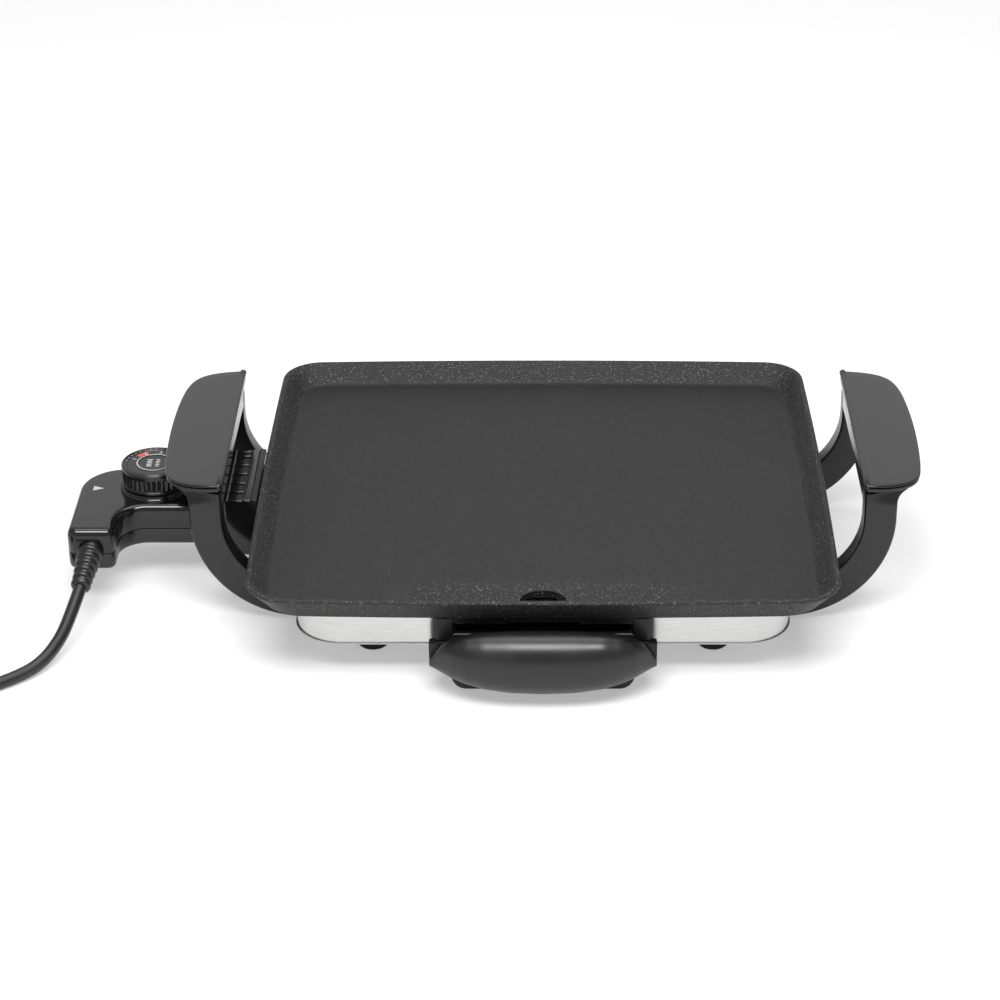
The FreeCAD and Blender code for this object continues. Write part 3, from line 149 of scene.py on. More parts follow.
def metal(name, col, rough, stretch, scale=300.0, bump_d=0.00001, rough_var=0.08):
    """Rolled or drawn metal with fine directional lines."""
    m, nt, b, vec = material(name)
    lines = noise(nt, vec, scale, 5.0, 0.65, stretch)
    cloud = noise(nt, vec, 14.0, 3.0)
    c0 = tuple(x * 0.9 for x in col)
    c1 = tuple(min(1.0, x * 1.06) for x in col)
    nt.links.new(ramp(nt, lines, [(0.3, c0), (0.7, c1)]), b.inputs["Base Color"])
    b.inputs["Metallic"].default_value = 1.0
    nt.links.new(rng(nt, cloud, rough - rough_var, rough + rough_var, 0.3, 0.7), b.inputs["Roughness"])
    bump(nt, b, lines, 0.3, bump_d)
    return m


def nonstick():
    """Matt non-stick coating: fine orange-peel grain, sparse pale specks, partly mineral flecks and partly painted
    glints.
    """
    m, nt, b, vec = material("nonstick")
    grain = noise(nt, vec, 760.0, 4.0, 0.7)
    cloud = noise(nt, vec, 9.0, 3.0)
    specks = nt.nodes.new("ShaderNodeTexVoronoi")
    specks.inputs["Scale"].default_value = 1000.0
    nt.links.new(vec, specks.inputs["Vector"])
    base = ramp(nt, cloud, [(0.3, (0.0062, 0.0062, 0.0065)), (0.7, (0.0085, 0.0085, 0.0088))])
    speck_glint_dots = ramp(nt, specks.outputs["Distance"], [(0.0, 1.0), (0.16, 0.55), (0.3, 0.0)])
    pick = ramp(nt, noise(nt, vec, 520.0, 2.0), [(0.46, 0.0), (0.58, 1.0)])
    mul = nt.nodes.new("ShaderNodeMix")
    mul.data_type = "RGBA"
    mul.blend_type = "MULTIPLY"
    mul.inputs["Factor"].default_value = 1.0
    nt.links.new(speck_glint_dots, mul.inputs["A"])
    nt.links.new(pick, mul.inputs["B"])
    # painted highlight: the pale specks are made stronger on the sloping walls and the run-off than on the flat floor,
    # painting in the brighter glinting that light gives those surfaces
    sep = nt.nodes.new("ShaderNodeSeparateXYZ")
    nt.links.new(vec, sep.inputs[0])
    off = nt.nodes.new("ShaderNodeMath")
    off.operation = "SUBTRACT"
    nt.links.new(sep.outputs["Z"], off.inputs[0])
    off.inputs[1].default_value = 0.051
    dist = nt.nodes.new("ShaderNodeMath")
    dist.operation = "ABSOLUTE"
    nt.links.new(off.outputs[0], dist.inputs[0])
    # painted highlight mask: speck strength 0.16 on the flat floor at 51 mm, rising to full 1.4 mm above or below it
    wall_glint_paint = nt.nodes.new("ShaderNodeMath")
    wall_glint_paint.operation = "MULTIPLY"
    nt.links.new(mul.outputs["Result"], wall_glint_paint.inputs[0])
    nt.links.new(rng(nt, dist.outputs[0], 0.16, 1.0, 0.0002, 0.0014), wall_glint_paint.inputs[1])
    mix = nt.nodes.new("ShaderNodeMix")
    mix.data_type = "RGBA"
    nt.links.new(wall_glint_paint.outputs[0], mix.inputs["Factor"])
    nt.links.new(base, mix.inputs["A"])
    # pale speck colour in the base colour, partly painted glints
    mix.inputs["B"].default_value = (0.42, 0.42, 0.43, 1)
    nt.links.new(mix.outputs["Result"], b.inputs["Base Color"])
    nt.links.new(rng(nt, grain, 0.42, 0.62, 0.3, 0.7), b.inputs["Roughness"])
    b.inputs["Specular IOR Level"].default_value = 0.42
    bump(nt, b, grain, 1.0, 0.0007)
    return m


MAT = {
    "plate": nonstick(),
    "gloss": plastic("gloss_black", (0.005, 0.005, 0.0055), 0.13, 500.0, 0.000006, 0.03, 0.2),
    "satin": plastic("satin_black", (0.005, 0.005, 0.0055), 0.36, 1100.0, 0.00003, spec=0.32),
    "arm": plastic("arm_black", (0.0035, 0.0035, 0.0038), 0.3, 1000.0, 0.00002),
    "grip": plastic("grip_black", (0.006, 0.006, 0.0065), 0.34, 1100.0, 0.00016, 0.05),
    "knob": plastic("knob_black", (0.005, 0.005, 0.0055), 0.24, 1200.0, 0.00002),
    "rubber": plastic("rubber_black", (0.004, 0.004, 0.004), 0.55, 700.0, 0.00005, 0.08, spec=0.25),
    "cord": plastic("cord_black", (0.009, 0.009, 0.0095), 0.33, 900.0, 0.00003),
    "enamel": plastic("tray_enamel", (0.02, 0.02, 0.02), 0.3, 240.0, 0.00004),
    "print": plastic("dial_print", (0.42, 0.42, 0.41), 0.4, 900.0, 0.00001),
    "red": plastic("dial_red", (0.45, 0.06, 0.02), 0.4, 900.0, 0.00001),
    "dial": plastic("dial_face", (0.034, 0.034, 0.035), 0.22, 900.0, 0.00002),
    "ceramic": plastic("ceramic_white", (0.62, 0.6, 0.55), 0.6, 420.0, 0.00006, 0.08, 0.08),
    "band": metal("band_steel", (0.56, 0.56, 0.555), 0.27, (1.0, 1.0, 30.0), 60.0),
    "sheet": metal("sheet_steel", (0.45, 0.45, 0.46), 0.42, (1.0, 12.0, 1.0), 120.0),
    "heater": metal("heater_sheath", (0.17, 0.155, 0.14), 0.5, (1.0, 1.0, 1.0), 260.0, 0.00003),
    "plated": metal("plated_steel", (0.68, 0.67, 0.65), 0.22, (8.0, 1.0, 8.0), 300.0),
    "alu": metal("cast_aluminium", (0.55, 0.55, 0.55), 0.5, (1.0, 1.0, 1.0), 400.0, 0.00008),
    "brass": metal("brass", (0.72, 0.52, 0.24), 0.3, (1.0, 1.0, 8.0), 300.0),
}

CAD_MATERIAL = {
    "steel_band": "band", "base_pan": "sheet", "heat_reflector": "sheet", "heating_element": "heater",
    "terminal_pins": "plated", "pin_insulators": "ceramic", "terminal_plate": "sheet", "sensor_tube": "plated",
    "sensor_clamp": "plated", "element_clips": "alu", "plate_studs": "plated", "stud_nuts": "plated",
    "socket_guard": "gloss", "drawer_housing": "satin", "tray_rail_left": "satin", "tray_rail_right": "satin",
    "tray_bay_roof": "sheet", "foot_front_left": "rubber", "foot_front_right": "rubber",
    "foot_rear_left": "rubber", "foot_rear_right": "rubber", "foot_screws": "plated", "handle_screws": "plated",
    "grip_screws": "plated", "drip_tray": "enamel", "tray_screws": "plated", "probe_posts": "satin",
    "probe_screws": "plated", "sensor_rod": "plated", "probe_contacts": "brass", "thermostat_frame": "ceramic",
    "switch_blades": "brass", "cord_clamp": "satin", "knob_shaft": "plated", "plug_pins": "plated",
    "griddle_plate": "plate", "handle_frame_left": "arm", "handle_frame_right": "arm", "grip_cap_left": "gloss",
    "grip_cap_right": "gloss", "tray_front": "satin", "tray_grip": "grip", "probe_top_shell": "gloss",
    "probe_bottom_shell": "gloss", "strain_relief": "cord", "cord_run": "cord", "cord_coil": "cord",
    "cord_tail": "cord", "plug_body": "satin", "knob": "knob", "knob_dial": "dial",
}
for name, o in NODES.items():
    o.data.materials.clear()
    o.data.materials.append(MAT[CAD_MATERIAL[name]])


# ------------------------------------------------------------ mesh helpers
def build(name, verts, faces, mat, body, angle=32.0, replaces=()):
    """A mesh piece from points in metres, smooth where its faces meet gently."""
    me = bpy.data.meshes.new(name)
    me.from_pydata([tuple(v) for v in verts], [], faces)
    me.update()
    bm = bmesh.new()
    bm.from_mesh(me)
    bmesh.ops.remove_doubles(bm, verts=bm.verts, dist=1e-7)
    bmesh.ops.recalc_face_normals(bm, faces=bm.faces)
    bm.to_mesh(me)
    bm.free()
    me.shade_smooth()
    me.set_sharp_from_angle(angle=math.radians(angle))
    o = bpy.data.objects.new(name, me)
    scene.collection.objects.link(o)
    me.materials.append(MAT[mat])
    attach(o, body)
    if replaces:
        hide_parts(*replaces)
    return o


def stack(rings, cap0=True, cap1=True, closed=True):
    """Faces between rings with the same number of points, ends capped."""
    verts, faces = [], []
    n = len(rings[0])
    for r in rings:
        verts += r
    m = n if closed else n - 1
    for k in range(len(rings) - 1):
        a, b = k * n, (k + 1) * n
        for i in range(m):
            j = (i + 1) % n
            faces.append((a + i, a + j, b + j, b + i))
    if cap0:
        faces.append(tuple(range(n - 1, -1, -1)))
    if cap1:
        e = (len(rings) - 1) * n
        faces.append(tuple(range(e, e + n)))
    return verts, faces


def ortho_ring(pts, radii, inset, seg=8):
    """Rounded outline of level and upright edges, moved inward; anticlockwise points."""
    n = len(pts)
    out = []
    nrm = []
    for i in range(n):
        (x0, y0), (x1, y1) = pts[i], pts[(i + 1) % n]
        d = math.hypot(x1 - x0, y1 - y0)
        nrm.append((-(y1 - y0) / d, (x1 - x0) / d))
    moved = []
    for i in range(n):
        a, b = nrm[i - 1], nrm[i]
        moved.append((pts[i][0] + inset * (a[0] + b[0]), pts[i][1] + inset * (a[1] + b[1])))
    for i in range(n):
        p, q0, q1 = moved[i], moved[i - 1], moved[(i + 1) % n]
        u = ((q0[0] - p[0]), (q0[1] - p[1]))
        w = ((q1[0] - p[0]), (q1[1] - p[1]))
        lu, lw = math.hypot(*u), math.hypot(*w)
        u, w = (u[0] / lu, u[1] / lu), (w[0] / lw, w[1] / lw)
        convex = (-u[0]) * w[1] - (-u[1]) * w[0] > 0
        r = max(0.08, radii[i] - inset if convex else radii[i] + inset)
        c = (p[0] + (u[0] + w[0]) * r, p[1] + (u[1] + w[1]) * r)
        a0 = math.atan2(-w[1], -w[0])
        a1 = math.atan2(-u[1], -u[0])
        s = (a1 - a0 + math.pi) % (2 * math.pi) - math.pi
        for k in range(seg + 1):
            t = a0 + s * k / seg
            out.append((c[0] + r * math.cos(t), c[1] + r * math.sin(t)))
    return out


def lathe(profile, seg=64):
    """Rings of a turned solid about Z from (radius, height) points in mm."""
    return [[(r * math.cos(2 * math.pi * i / seg), r * math.sin(2 * math.pi * i / seg), z) for i in range(seg)] for r, z in profile]


def arc_pts(cx, cy, r, a0, a1, n):
    return [(cx + r * math.cos(math.radians(a0 + (a1 - a0) * i / n)), cy + r * math.sin(math.radians(a0 + (a1 - a0) * i / n))) for i in range(n + 1)]


# --------------------------------------------------------------- the plate
W, DP, RC, BX, BY = 353.0, 328.8, 25.5, 6000.0, 4200.0


def bowed_ring(inset, corner, nside=40, ncor=14):
    """Rounded rectangle with bowed sides, moved inward by inset."""
    wide, deep = W - 2 * inset, DP - 2 * inset
    ax, ay = BX - wide / 2, BY - deep / 2
    p, t = BX - corner, BY - corner
    x, y = wide / 2 - corner, deep / 2 - corner
    for _ in range(40):
        x = -ax + math.sqrt(p * p - y * y)
        y = -ay + math.sqrt(t * t - x * x)
    a1, a2 = math.atan2(y, x + ax), math.atan2(y + ay, x)
    pts = []

    def arc(cx, cy, r, lo, hi, n):
        for i in range(n):
            a = lo + (hi - lo) * i / n
            pts.append((cx + r * math.cos(a), cy + r * math.sin(a)))

    pi = math.pi
    arc(-ax, 0, BX, -a1, a1, nside)
    arc(x, y, corner, a1, a2, ncor)
    arc(0, -ay, BY, a2, pi - a2, nside)
    arc(-x, y, corner, pi - a2, pi - a1, ncor)
    arc(ax, 0, BX, pi - a1, pi + a1, nside)
    arc(-x, -y, corner, pi + a1, pi + a2, ncor)
    arc(0, ay, BY, pi + a2, 2 * pi - a2, nside)
    arc(x, -y, corner, 2 * pi - a2, 2 * pi - a1, ncor)
    return pts


def sstep(a, b, x):
    t = max(0.0, min(1.0, (x - a) / (b - a)))
    return t * t * (3 - 2 * t)


def runoff(x, y):
    """How far the floor drops towards the drain at the front."""
    side = 1 - sstep(46, 104, abs(x))
    deep = 1 - sstep(-129, -113, y)
    return 2.9 * side * deep


def griddle_plate():
    prof = [
        (13.0, 47.5, 30), (10.6, 47.5, 29), (9.2, 47.55, 28.6), (8.45, 47.85, 28.4), (8.05, 48.6, 28.3), (7.7, 49.3, 28.2),
        (4.2, 54.9, 27.0), (0.75, 60.4, 25.8), (0.35, 61.0, 25.6), (0.1, 61.7, 25.5), (0.12, 62.2, 25.5), (0.5, 62.75, 25.2), (1.05, 63.0, 24.8),
        (2.3, 63.0, 24.0), (3.0, 62.85, 23.2), (3.6, 62.3, 22.8), (5.6, 59.8, 21.6), (8.3, 56.4, 20.0), (10.6, 53.5, 18.6),
        (11.4, 52.6, 18.0), (12.2, 51.85, 17.4), (13.1, 51.35, 16.7), (14.2, 51.08, 16.0), (15.4, 51.0, 15.2),
    ]
    rings = []
    for inset, z, corner in prof:
        ring = bowed_ring(inset, corner)
        rings.append([(x, y, z) for x, y in ring])
    last = bowed_ring(15.4, 15.2)
    k = 1.0
    scales = [1 - 0.009 * i for i in range(1, 30)] + [0.7, 0.6, 0.45, 0.3, 0.15, 0.05]
    for s in scales:
        rings.append([(x * s, y * s, 51.0) for x, y in last])
    rings2 = []
    for i, r in enumerate(rings):
        if i < 15:
            rings2.append(r)
            continue
        out = []
        for x, y, z in r:
            f = 1.0 - sstep(51.0, 60.0, z)
            out.append((x, y, z - runoff(x, y) * f))
        rings2.append(out)
    v, f = stack(rings2)
    o = build("plate_body", [P(*p) for p in v], f, "plate", "base", 40)
    # drain slot cut through the plate
    slot_pts = arc_pts(2, -137, 12, -90, 90, 16) + arc_pts(-2, -137, 12, 90, 270, 16)
    cut_rings = [[(x, y, 40.0) for x, y in slot_pts], [(x, y, 70.0) for x, y in slot_pts]]
    cv, cf = stack(cut_rings)
    cutter = build("drain_cutter", [P(*p) for p in cv], cf, "plate", "base")
    mod = o.modifiers.new("drain", "BOOLEAN")
    mod.operation = "DIFFERENCE"
    mod.solver = "EXACT"
    mod.object = cutter
    dg = bpy.context.evaluated_depsgraph_get()
    me = bpy.data.meshes.new_from_object(o.evaluated_get(dg))
    o.modifiers.clear()
    o.data = me
    bpy.data.objects.remove(cutter)
    me.shade_smooth()
    me.set_sharp_from_angle(angle=math.radians(40))
    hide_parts("griddle_plate")
    # short spout under the drain
    def slot_ring(r, z):
        return [(x, y, z) for x, y in arc_pts(2, -137, r, -90, 90, 16) + arc_pts(-2, -137, r, 90, 270, 16)]
    sp = [slot_ring(12.05, 47.2), slot_ring(12.05, 44.2), slot_ring(12.4, 44.0), slot_ring(14.0, 44.0), slot_ring(14.4, 44.3), slot_ring(14.4, 47.6)]
    sv, sf = stack(sp, False, False)
    n = len(sp[0])
    sf += [((len(sp) - 1) * n + i, (len(sp) - 1) * n + (i + 1) % n, (i + 1) % n, i) for i in range(n)]
    build("drain_spout", [P(*p) for p in sv], sf, "plate", "base", 40)


griddle_plate()


# ----------------------------------------------------------------- handles
CAP = [(194.6, -78.0), (203.0, -77.5), (210.5, -75.7), (217.2, -72.6), (222.3, -68.8), (225.9, -64.8), (228.3, -60.2), (229.7, -54.5), (231.0, -44.0), (232.2, -28.0), (233.0, -9.0), (233.2, 8.0), (232.9, 24.0), (232.1, 40.0), (230.9, 53.0), (229.3, 62.5), (227.0, 70.0), (223.6, 75.6), (218.6, 79.4), (212.5, 81.4), (204.5, 82.3), (194.6, 82.4)]


def smooth_open(pts, per=5):
    """Catmull-Rom curve through open points."""
    out = []
    q = [(2 * pts[0][0] - pts[1][0], 2 * pts[0][1] - pts[1][1])] + pts + [(2 * pts[-1][0] - pts[-2][0], 2 * pts[-1][1] - pts[-2][1])]
    for i in range(1, len(q) - 2):
        p0, p1, p2, p3 = q[i - 1], q[i], q[i + 1], q[i + 2]
        for k in range(per):
            t = k / per
            out.append(tuple(0.5 * (2 * p1[c] + (p2[c] - p0[c]) * t + (2 * p0[c] - 5 * p1[c] + 4 * p2[c] - p3[c]) * t * t + (3 * p1[c] - p0[c] - 3 * p2[c] + p3[c]) * t ** 3) for c in (0, 1)))
    out.append(pts[-1])
    return out


CAP_FINE = smooth_open(CAP)


def cap_ring(ins):
    """The cap's plan outline moved inward; its inner edge is straight."""
    n = len(CAP_FINE)
    out = []
    for i, (x, y) in enumerate(CAP_FINE):
        x0, y0 = CAP_FINE[max(0, i - 1)]
        x1, y1 = CAP_FINE[min(n - 1, i + 1)]
        if i in (0, n - 1):
            nx, ny = 0.0, (1.0 if i == 0 else -1.0)
            out.append((x + ins, y + ny * ins))
            continue
        d = math.hypot(x1 - x0, y1 - y0)
        out.append((max(194.6 + ins, x - (y1 - y0) / d * ins), y + (x1 - x0) / d * ins))
    # straight inner edge, from the rear end back to the front end
    (xa, ya), (xb, yb) = out[-1], out[0]
    for k in range(1, 24):
        t = k / 24
        out.append((xa + (xb - xa) * t, ya + (yb - ya) * t))
    return out


def cap_z(x):
    return 93.9 - 2.9 * max(0.0, (x - 196.0) / 37.0) ** 1.15


def handle(sgn, label):
    """Two curved arms and a beam in one moulding, and the layered grip cap on top."""
    xo, xi, xe, zlow, zpan = 214.0, 194.2, 108.0, 1.8, 22.2
    ro, ri = 68.0, 47.0
    co, ci = (xo - ro, zlow + ro), (xi - ri, zpan + ri)
    spine = [((xe, zlow), (xe, zpan)), (((xe + co[0]) / 2, zlow), ((xe + ci[0]) / 2, zpan))]
    n_arc = 30
    for i in range(n_arc + 1):
        a = -math.pi / 2 + (math.pi / 2) * i / n_arc
        spine.append(((co[0] + ro * math.cos(a), co[1] + ro * math.sin(a)), (ci[0] + ri * math.cos(a), ci[1] + ri * math.sin(a))))
    # the outer face flares into the cap over the last few millimetres
    for k in range(0, 13):
        z = 76.0 + 11.4 * k / 12
        f = max(0.0, (z - 80.6) / 6.8)
        spine.append(((xo + 7.5 * (1 - math.sqrt(max(0.0, 1 - f * f * 0.97))), z), (xi, z)))
    for sy, yn in ((-1, "front"), (1, "rear")):
        rings = []
        for (po, pi_) in spine:
            L = math.hypot(po[0] - pi_[0], po[1] - pi_[1])
            ring = ortho_ring([(-7.0, 0.0), (7.0, 0.0), (7.0, L), (-7.0, L)], [1.9, 1.9, 1.5, 1.5], 0.0, 6)
            ux, uz = (pi_[0] - po[0]) / L, (pi_[1] - po[1]) / L
            pts = []
            for q, t in ring:
                x, y, z = po[0] + ux * t, 70.0 * sy + q, po[1] + uz * t
                # under the cap's rounded front corner the arm narrows with the outline
                if sy < 0 and z > 79.0 and x > 203.0:
                    lim = next((ya + (yb - ya) * (x - xa) / (xb - xa) for (xa, ya), (xb, yb) in zip(CAP, CAP[1:]) if x <= xb), y) + 0.8
                    y += max(0.0, lim - y) * sstep(79.0, 87.0, z)
                pts.append((x * sgn, y, z))
            rings.append(pts)
        first = rings[0]
        e1 = [(p[0] - 1.0 * sgn, 70.0 * sy + (p[1] - 70.0 * sy) * 0.95, 12.0 + (p[2] - 12.0) * 0.965) for p in first]
        e2 = [(p[0] - 1.8 * sgn, 70.0 * sy + (p[1] - 70.0 * sy) * 0.8, 12.0 + (p[2] - 12.0) * 0.86) for p in first]
        v, f = stack([e2, e1] + rings)
        build("arm_%s_%s" % (yn, label), [P(*p) for p in v], f, "arm", "base", 35,
              ("handle_frame_" + label,) if yn == "front" else ())
    # beam between the arms, with a softened lower edge and a shallow finger relief
    rings = []
    for k in range(25):
        y = -64.5 + 129.0 * k / 24
        relief = 1.1 * (1 - sstep(44.0, 60.0, abs(y)))
        sec = ortho_ring([(194.2, 74.4 + relief), (213.4, 74.4 + relief), (213.4, 89.0), (194.2, 89.0)], [3.0, 3.0, 0.5, 0.5], 0.0, 7)
        rings.append([(x * sgn, y, z) for x, z in sec])
    v, f = stack(rings)
    build("beam_" + label, [P(*p) for p in v], f, "gloss", "base", 35)

    def plate_ring(ins, top):
        return [(x * sgn, y, (cap_z(x) - top)) for x, y in cap_ring(ins)]

    # lower layer: a shallow dish nearly flush with the shell above it
    low = []
    for ins, depth in [(13.0, 6.3), (8.0, 6.3), (4.5, 6.2), (2.8, 5.9), (1.6, 5.4), (0.9, 4.8), (0.5, 4.2), (0.35, 3.6), (0.35, 2.6), (0.5, 2.25), (0.9, 2.1)]:
        ring = []
        for x, y in cap_ring(ins):
            lift = 0.0 if depth < 2.4 else (depth - 2.4) * 0.32 * sstep(214.0, 232.0, x)
            ring.append((x * sgn, y, cap_z(x) - depth + lift))
        low.append(ring)
    low.append([(x * sgn, y, cap_z(x) - 2.05) for x, y in cap_ring(3.2)])
    v, f = stack(low, True, True)
    build("cap_dish_" + label, [P(*p) for p in v], f, "gloss", "base", 35)
    # dark core seen in the shadow gap
    v, f = stack([[(x * sgn, y, cap_z(x) - 2.4) for x, y in cap_ring(1.7)], [(x * sgn, y, cap_z(x) - 0.9) for x, y in cap_ring(1.7)]])
    build("cap_core_" + label, [P(*p) for p in v], f, "satin", "base", 35)
    # upper shell
    up = []
    for ins, dz in [(2.4, 1.5), (0.9, 1.5), (0.35, 1.4), (0.05, 1.1), (0.0, 0.8), (0.08, 0.5), (0.3, 0.22), (0.7, 0.05), (1.3, 0.0)]:
        up.append(plate_ring(ins, dz))
    cx_, cy_ = 211.0, 2.0
    base = cap_ring(1.3)
    for k in range(1, 15):
        q = 1 - k / 14.6
        up.append([((cx_ + (x - cx_) * q) * sgn, cy_ + (y - cy_) * q, cap_z(cx_ + (x - cx_) * q)) for x, y in base])
    v, f = stack(up)
    build("cap_" + label, [P(*p) for p in v], f, "gloss", "base", 30, ("grip_cap_" + label,))
    # raised bead along the inner edge, full round at the rear, hooked at the front
    rings = []
    stations = [(-77.6, 0.02), (-77.5, 0.4), (-77.1, 0.68), (-76.5, 0.88), (-75.6, 1.0)]
    stations += [(-75.6 + (82.2 + 75.6) * k / 12, 1.0) for k in range(1, 12)]
    stations += [(81.6, 1.0), (82.2, 1.06), (83.0, 1.04), (83.7, 0.86), (84.1, 0.6), (84.3, 0.3), (84.35, 0.02)]
    for y, k in stations:
        ring = []
        for a in range(24):
            t = 2 * math.pi * a / 24
            ring.append(((195.25 + 2.05 * k * math.cos(t)) * sgn, y, 92.45 + 2.0 * k * math.sin(t)))
        rings.append(ring)
    v, f = stack(rings)
    build("bead_" + label, [P(*p) for p in v], f, "gloss", "base", 50)
    # inner wall below the bead, stopping short of the front corner
    rings = []
    for y, ins in [(-73.6, 0.6), (-73.1, 0.1), (-72.0, 0.0), (80.6, 0.0), (81.4, 0.15), (81.9, 0.7)]:
        rings.append([(x * sgn, y, z) for x, z in ortho_ring([(193.6, 86.9), (197.5, 86.9), (197.5, 92.4), (193.6, 92.4)], [0.7, 0.4, 0.4, 0.4], ins, 4)])
    v, f = stack(rings)
    build("cap_edge_" + label, [P(*p) for p in v], f, "gloss", "base", 40)


handle(-1, "left")
handle(1, "right")


# -------------------------------------------------------- tray front, grip
def lerp_table(tab, x):
    for (x0, v0), (x1, v1) in zip(tab, tab[1:]):
        if x <= x1:
            t = (x - x0) / (x1 - x0)
            t = t * t * (3 - 2 * t) * 0.35 + t * 0.65
            return v0 + (v1 - v0) * t
    return tab[-1][1]


def smooth_table(tab, n=240):
    """Even samples of a table, smoothed so that no knot shows as a crease."""
    hi = tab[-1][0]
    vals = [lerp_table(tab, hi * i / n) for i in range(n + 1)]
    for _ in range(60):
        vals = [vals[0]] + [(vals[i - 1] + 2 * vals[i] + vals[i + 1]) / 4 for i in range(1, n)] + [vals[-1]]
        vals[0] = vals[1]
    return lambda x: vals[min(n, int(round(x / hi * n)))] if x >= hi else vals[int(x / hi * n)] + (vals[min(n, int(x / hi * n) + 1)] - vals[int(x / hi * n)]) * (x / hi * n - int(x / hi * n))


def tray():
    low = [(-54, 3.0), (54, 3.0), (54, 30.0), (-54, 30.0)]
    rings = []
    for y, ins in [(-152.0, 0.6), (-152.4, 0.1), (-153.0, 0.0), (-161.2, 0.0), (-162.2, 0.4), (-162.8, 1.1), (-163.0, 2.2)]:
        rings.append([(x, y, z) for x, z in ortho_ring(low, [9, 9, 2, 2], ins, 8)])
    v, f = stack(rings)
    build("tray_face", [P(*p) for p in v], f, "satin", "drip_drawer", 35, ("tray_front",))
    bar = [(-67, 16.0), (67, 16.0), (67, 32.2), (-67, 32.2)]
    rings = []
    for y, ins in [(-152.0, 0.5), (-152.5, 0.0), (-157.2, 0.0), (-157.8, 0.3), (-158.0, 1.0)]:
        rings.append([(x, y, z) for x, z in ortho_ring(bar, [1.2] * 4, ins, 4)])
    v, f = stack(rings)
    build("tray_bar", [P(*p) for p in v], f, "satin", "drip_drawer", 35)
    lip = [(-53, 28.0), (53, 28.0), (53, 37.6), (-53, 37.6)]
    rings = []
    for y, ins in [(-153.2, 0.5), (-153.6, 0.0), (-156.2, 0.0), (-156.6, 0.3), (-156.8, 0.9)]:
        rings.append([(x, y, z) for x, z in ortho_ring(lip, [1.0] * 4, ins, 4)])
    v, f = stack(rings)
    build("tray_lip", [P(*p) for p in v], f, "satin", "drip_drawer", 35)
    # bulging grip: top line, bottom line and bulge across the half width
    top = smooth_table([(0, 46.9), (18, 46.6), (34, 45.5), (45, 43.5), (52, 40.8), (57, 37.2), (61, 32.6), (64, 27.4), (66.5, 22.2)])
    bot = smooth_table([(0, 8.0), (18, 8.5), (34, 10.2), (45, 12.6), (53, 15.0), (60, 17.4), (66.5, 19.4)])
    out = smooth_table([(0, 27.4), (18, 26.8), (34, 24.8), (45, 21.6), (53, 17.4), (59, 12.4), (63, 8.2), (66.5, 5.0)])
    rings = []
    NS = 84
    for k in range(NS + 1):
        u = -1 + 2 * k / NS
        u = math.copysign(1 - (1 - abs(u)) ** 1.25, u)
        x = 66.5 * u
        a = abs(x)
        zt, zb, bo = top(a), bot(a), out(a)
        zc, h = (zt + zb) / 2, (zt - zb) / 2
        yc = -159.2 - 0.45 * bo
        ring = []
        NV = 72
        for j in range(NV):
            t = 2 * math.pi * j / NV
            c, q = math.cos(t), math.sin(t)
            semi = 0.55 * bo if c > 0 else 0.45 * bo
            ring.append((x, yc - semi * math.copysign(abs(c) ** 0.92, c), zc + h * math.copysign(abs(q) ** 0.97, q)))
        rings.append(ring)
    v, f = stack(rings)
    build("tray_pull", [P(*p) for p in v], f, "grip", "drip_drawer", 60, ("tray_grip",))


tray()


# ------------------------------------------------------------------- probe
POUT = [(-293, -59), (-264, -59), (-264, -26.5), (-199, -26.5), (-199, -18.5), (-181, -18.5), (-181, 18.5), (-199, 18.5), (-199, 26.5), (-293, 26.5)]
PRAD = [6, 5, 17, 2.5, 1.5, 3, 3, 1.5, 6, 27]


def probe():
    def ring(ins, z):
        return [(x, y, z) for x, y in ortho_ring(POUT, PRAD, ins, 12)]

    low = [ring(5.0, 25.0), ring(3.2, 25.05), ring(1.9, 25.35), ring(0.9, 26.0), ring(0.3, 27.0), ring(0.05, 28.2), ring(0.0, 29.5), ring(0.0, 36.0), ring(0.12, 36.35), ring(0.5, 36.55)]
    v, f = stack(low)
    build("probe_lower", [P(*p) for p in v], f, "gloss", "probe", 35, ("probe_bottom_shell",))
    up = [ring(0.5, 36.6), ring(0.12, 36.8), ring(0.0, 37.15), ring(0.0, 46.6), ring(0.05, 47.6), ring(0.3, 49.0), ring(0.85, 50.4), ring(1.7, 51.5), ring(2.9, 52.2), ring(4.2, 52.48), ring(5.4, 52.5)]
    v, f = stack(up)
    build("probe_upper", [P(*p) for p in v], f, "gloss", "probe", 35, ("probe_top_shell",))
    # collar rings under the dial
    prof = [(17.0, 52.3), (22.4, 52.3), (22.4, 52.9), (22.3, 53.6), (22.1, 53.95), (21.9, 54.1), (21.7, 54.3), (21.6, 54.6), (21.6, 55.3), (21.3, 55.75), (20.6, 55.95), (17.0, 56.0)]
    v, f = stack(lathe(prof, 96))
    build("probe_collar", [P(x - 244.5, y, z) for x, y, z in v], f, "gloss", "probe", 35)
    # pointer mark let into the top
    tri = [(-283.6, -6.0), (-277.0, -3.0), (-283.6, 0.0)]
    v, f = stack([[(x, y, 52.3) for x, y in tri], [(x, y, 52.62) for x, y in tri]])
    build("pointer_mark", [P(*p) for p in v], f, "print", "probe", 30)


probe()


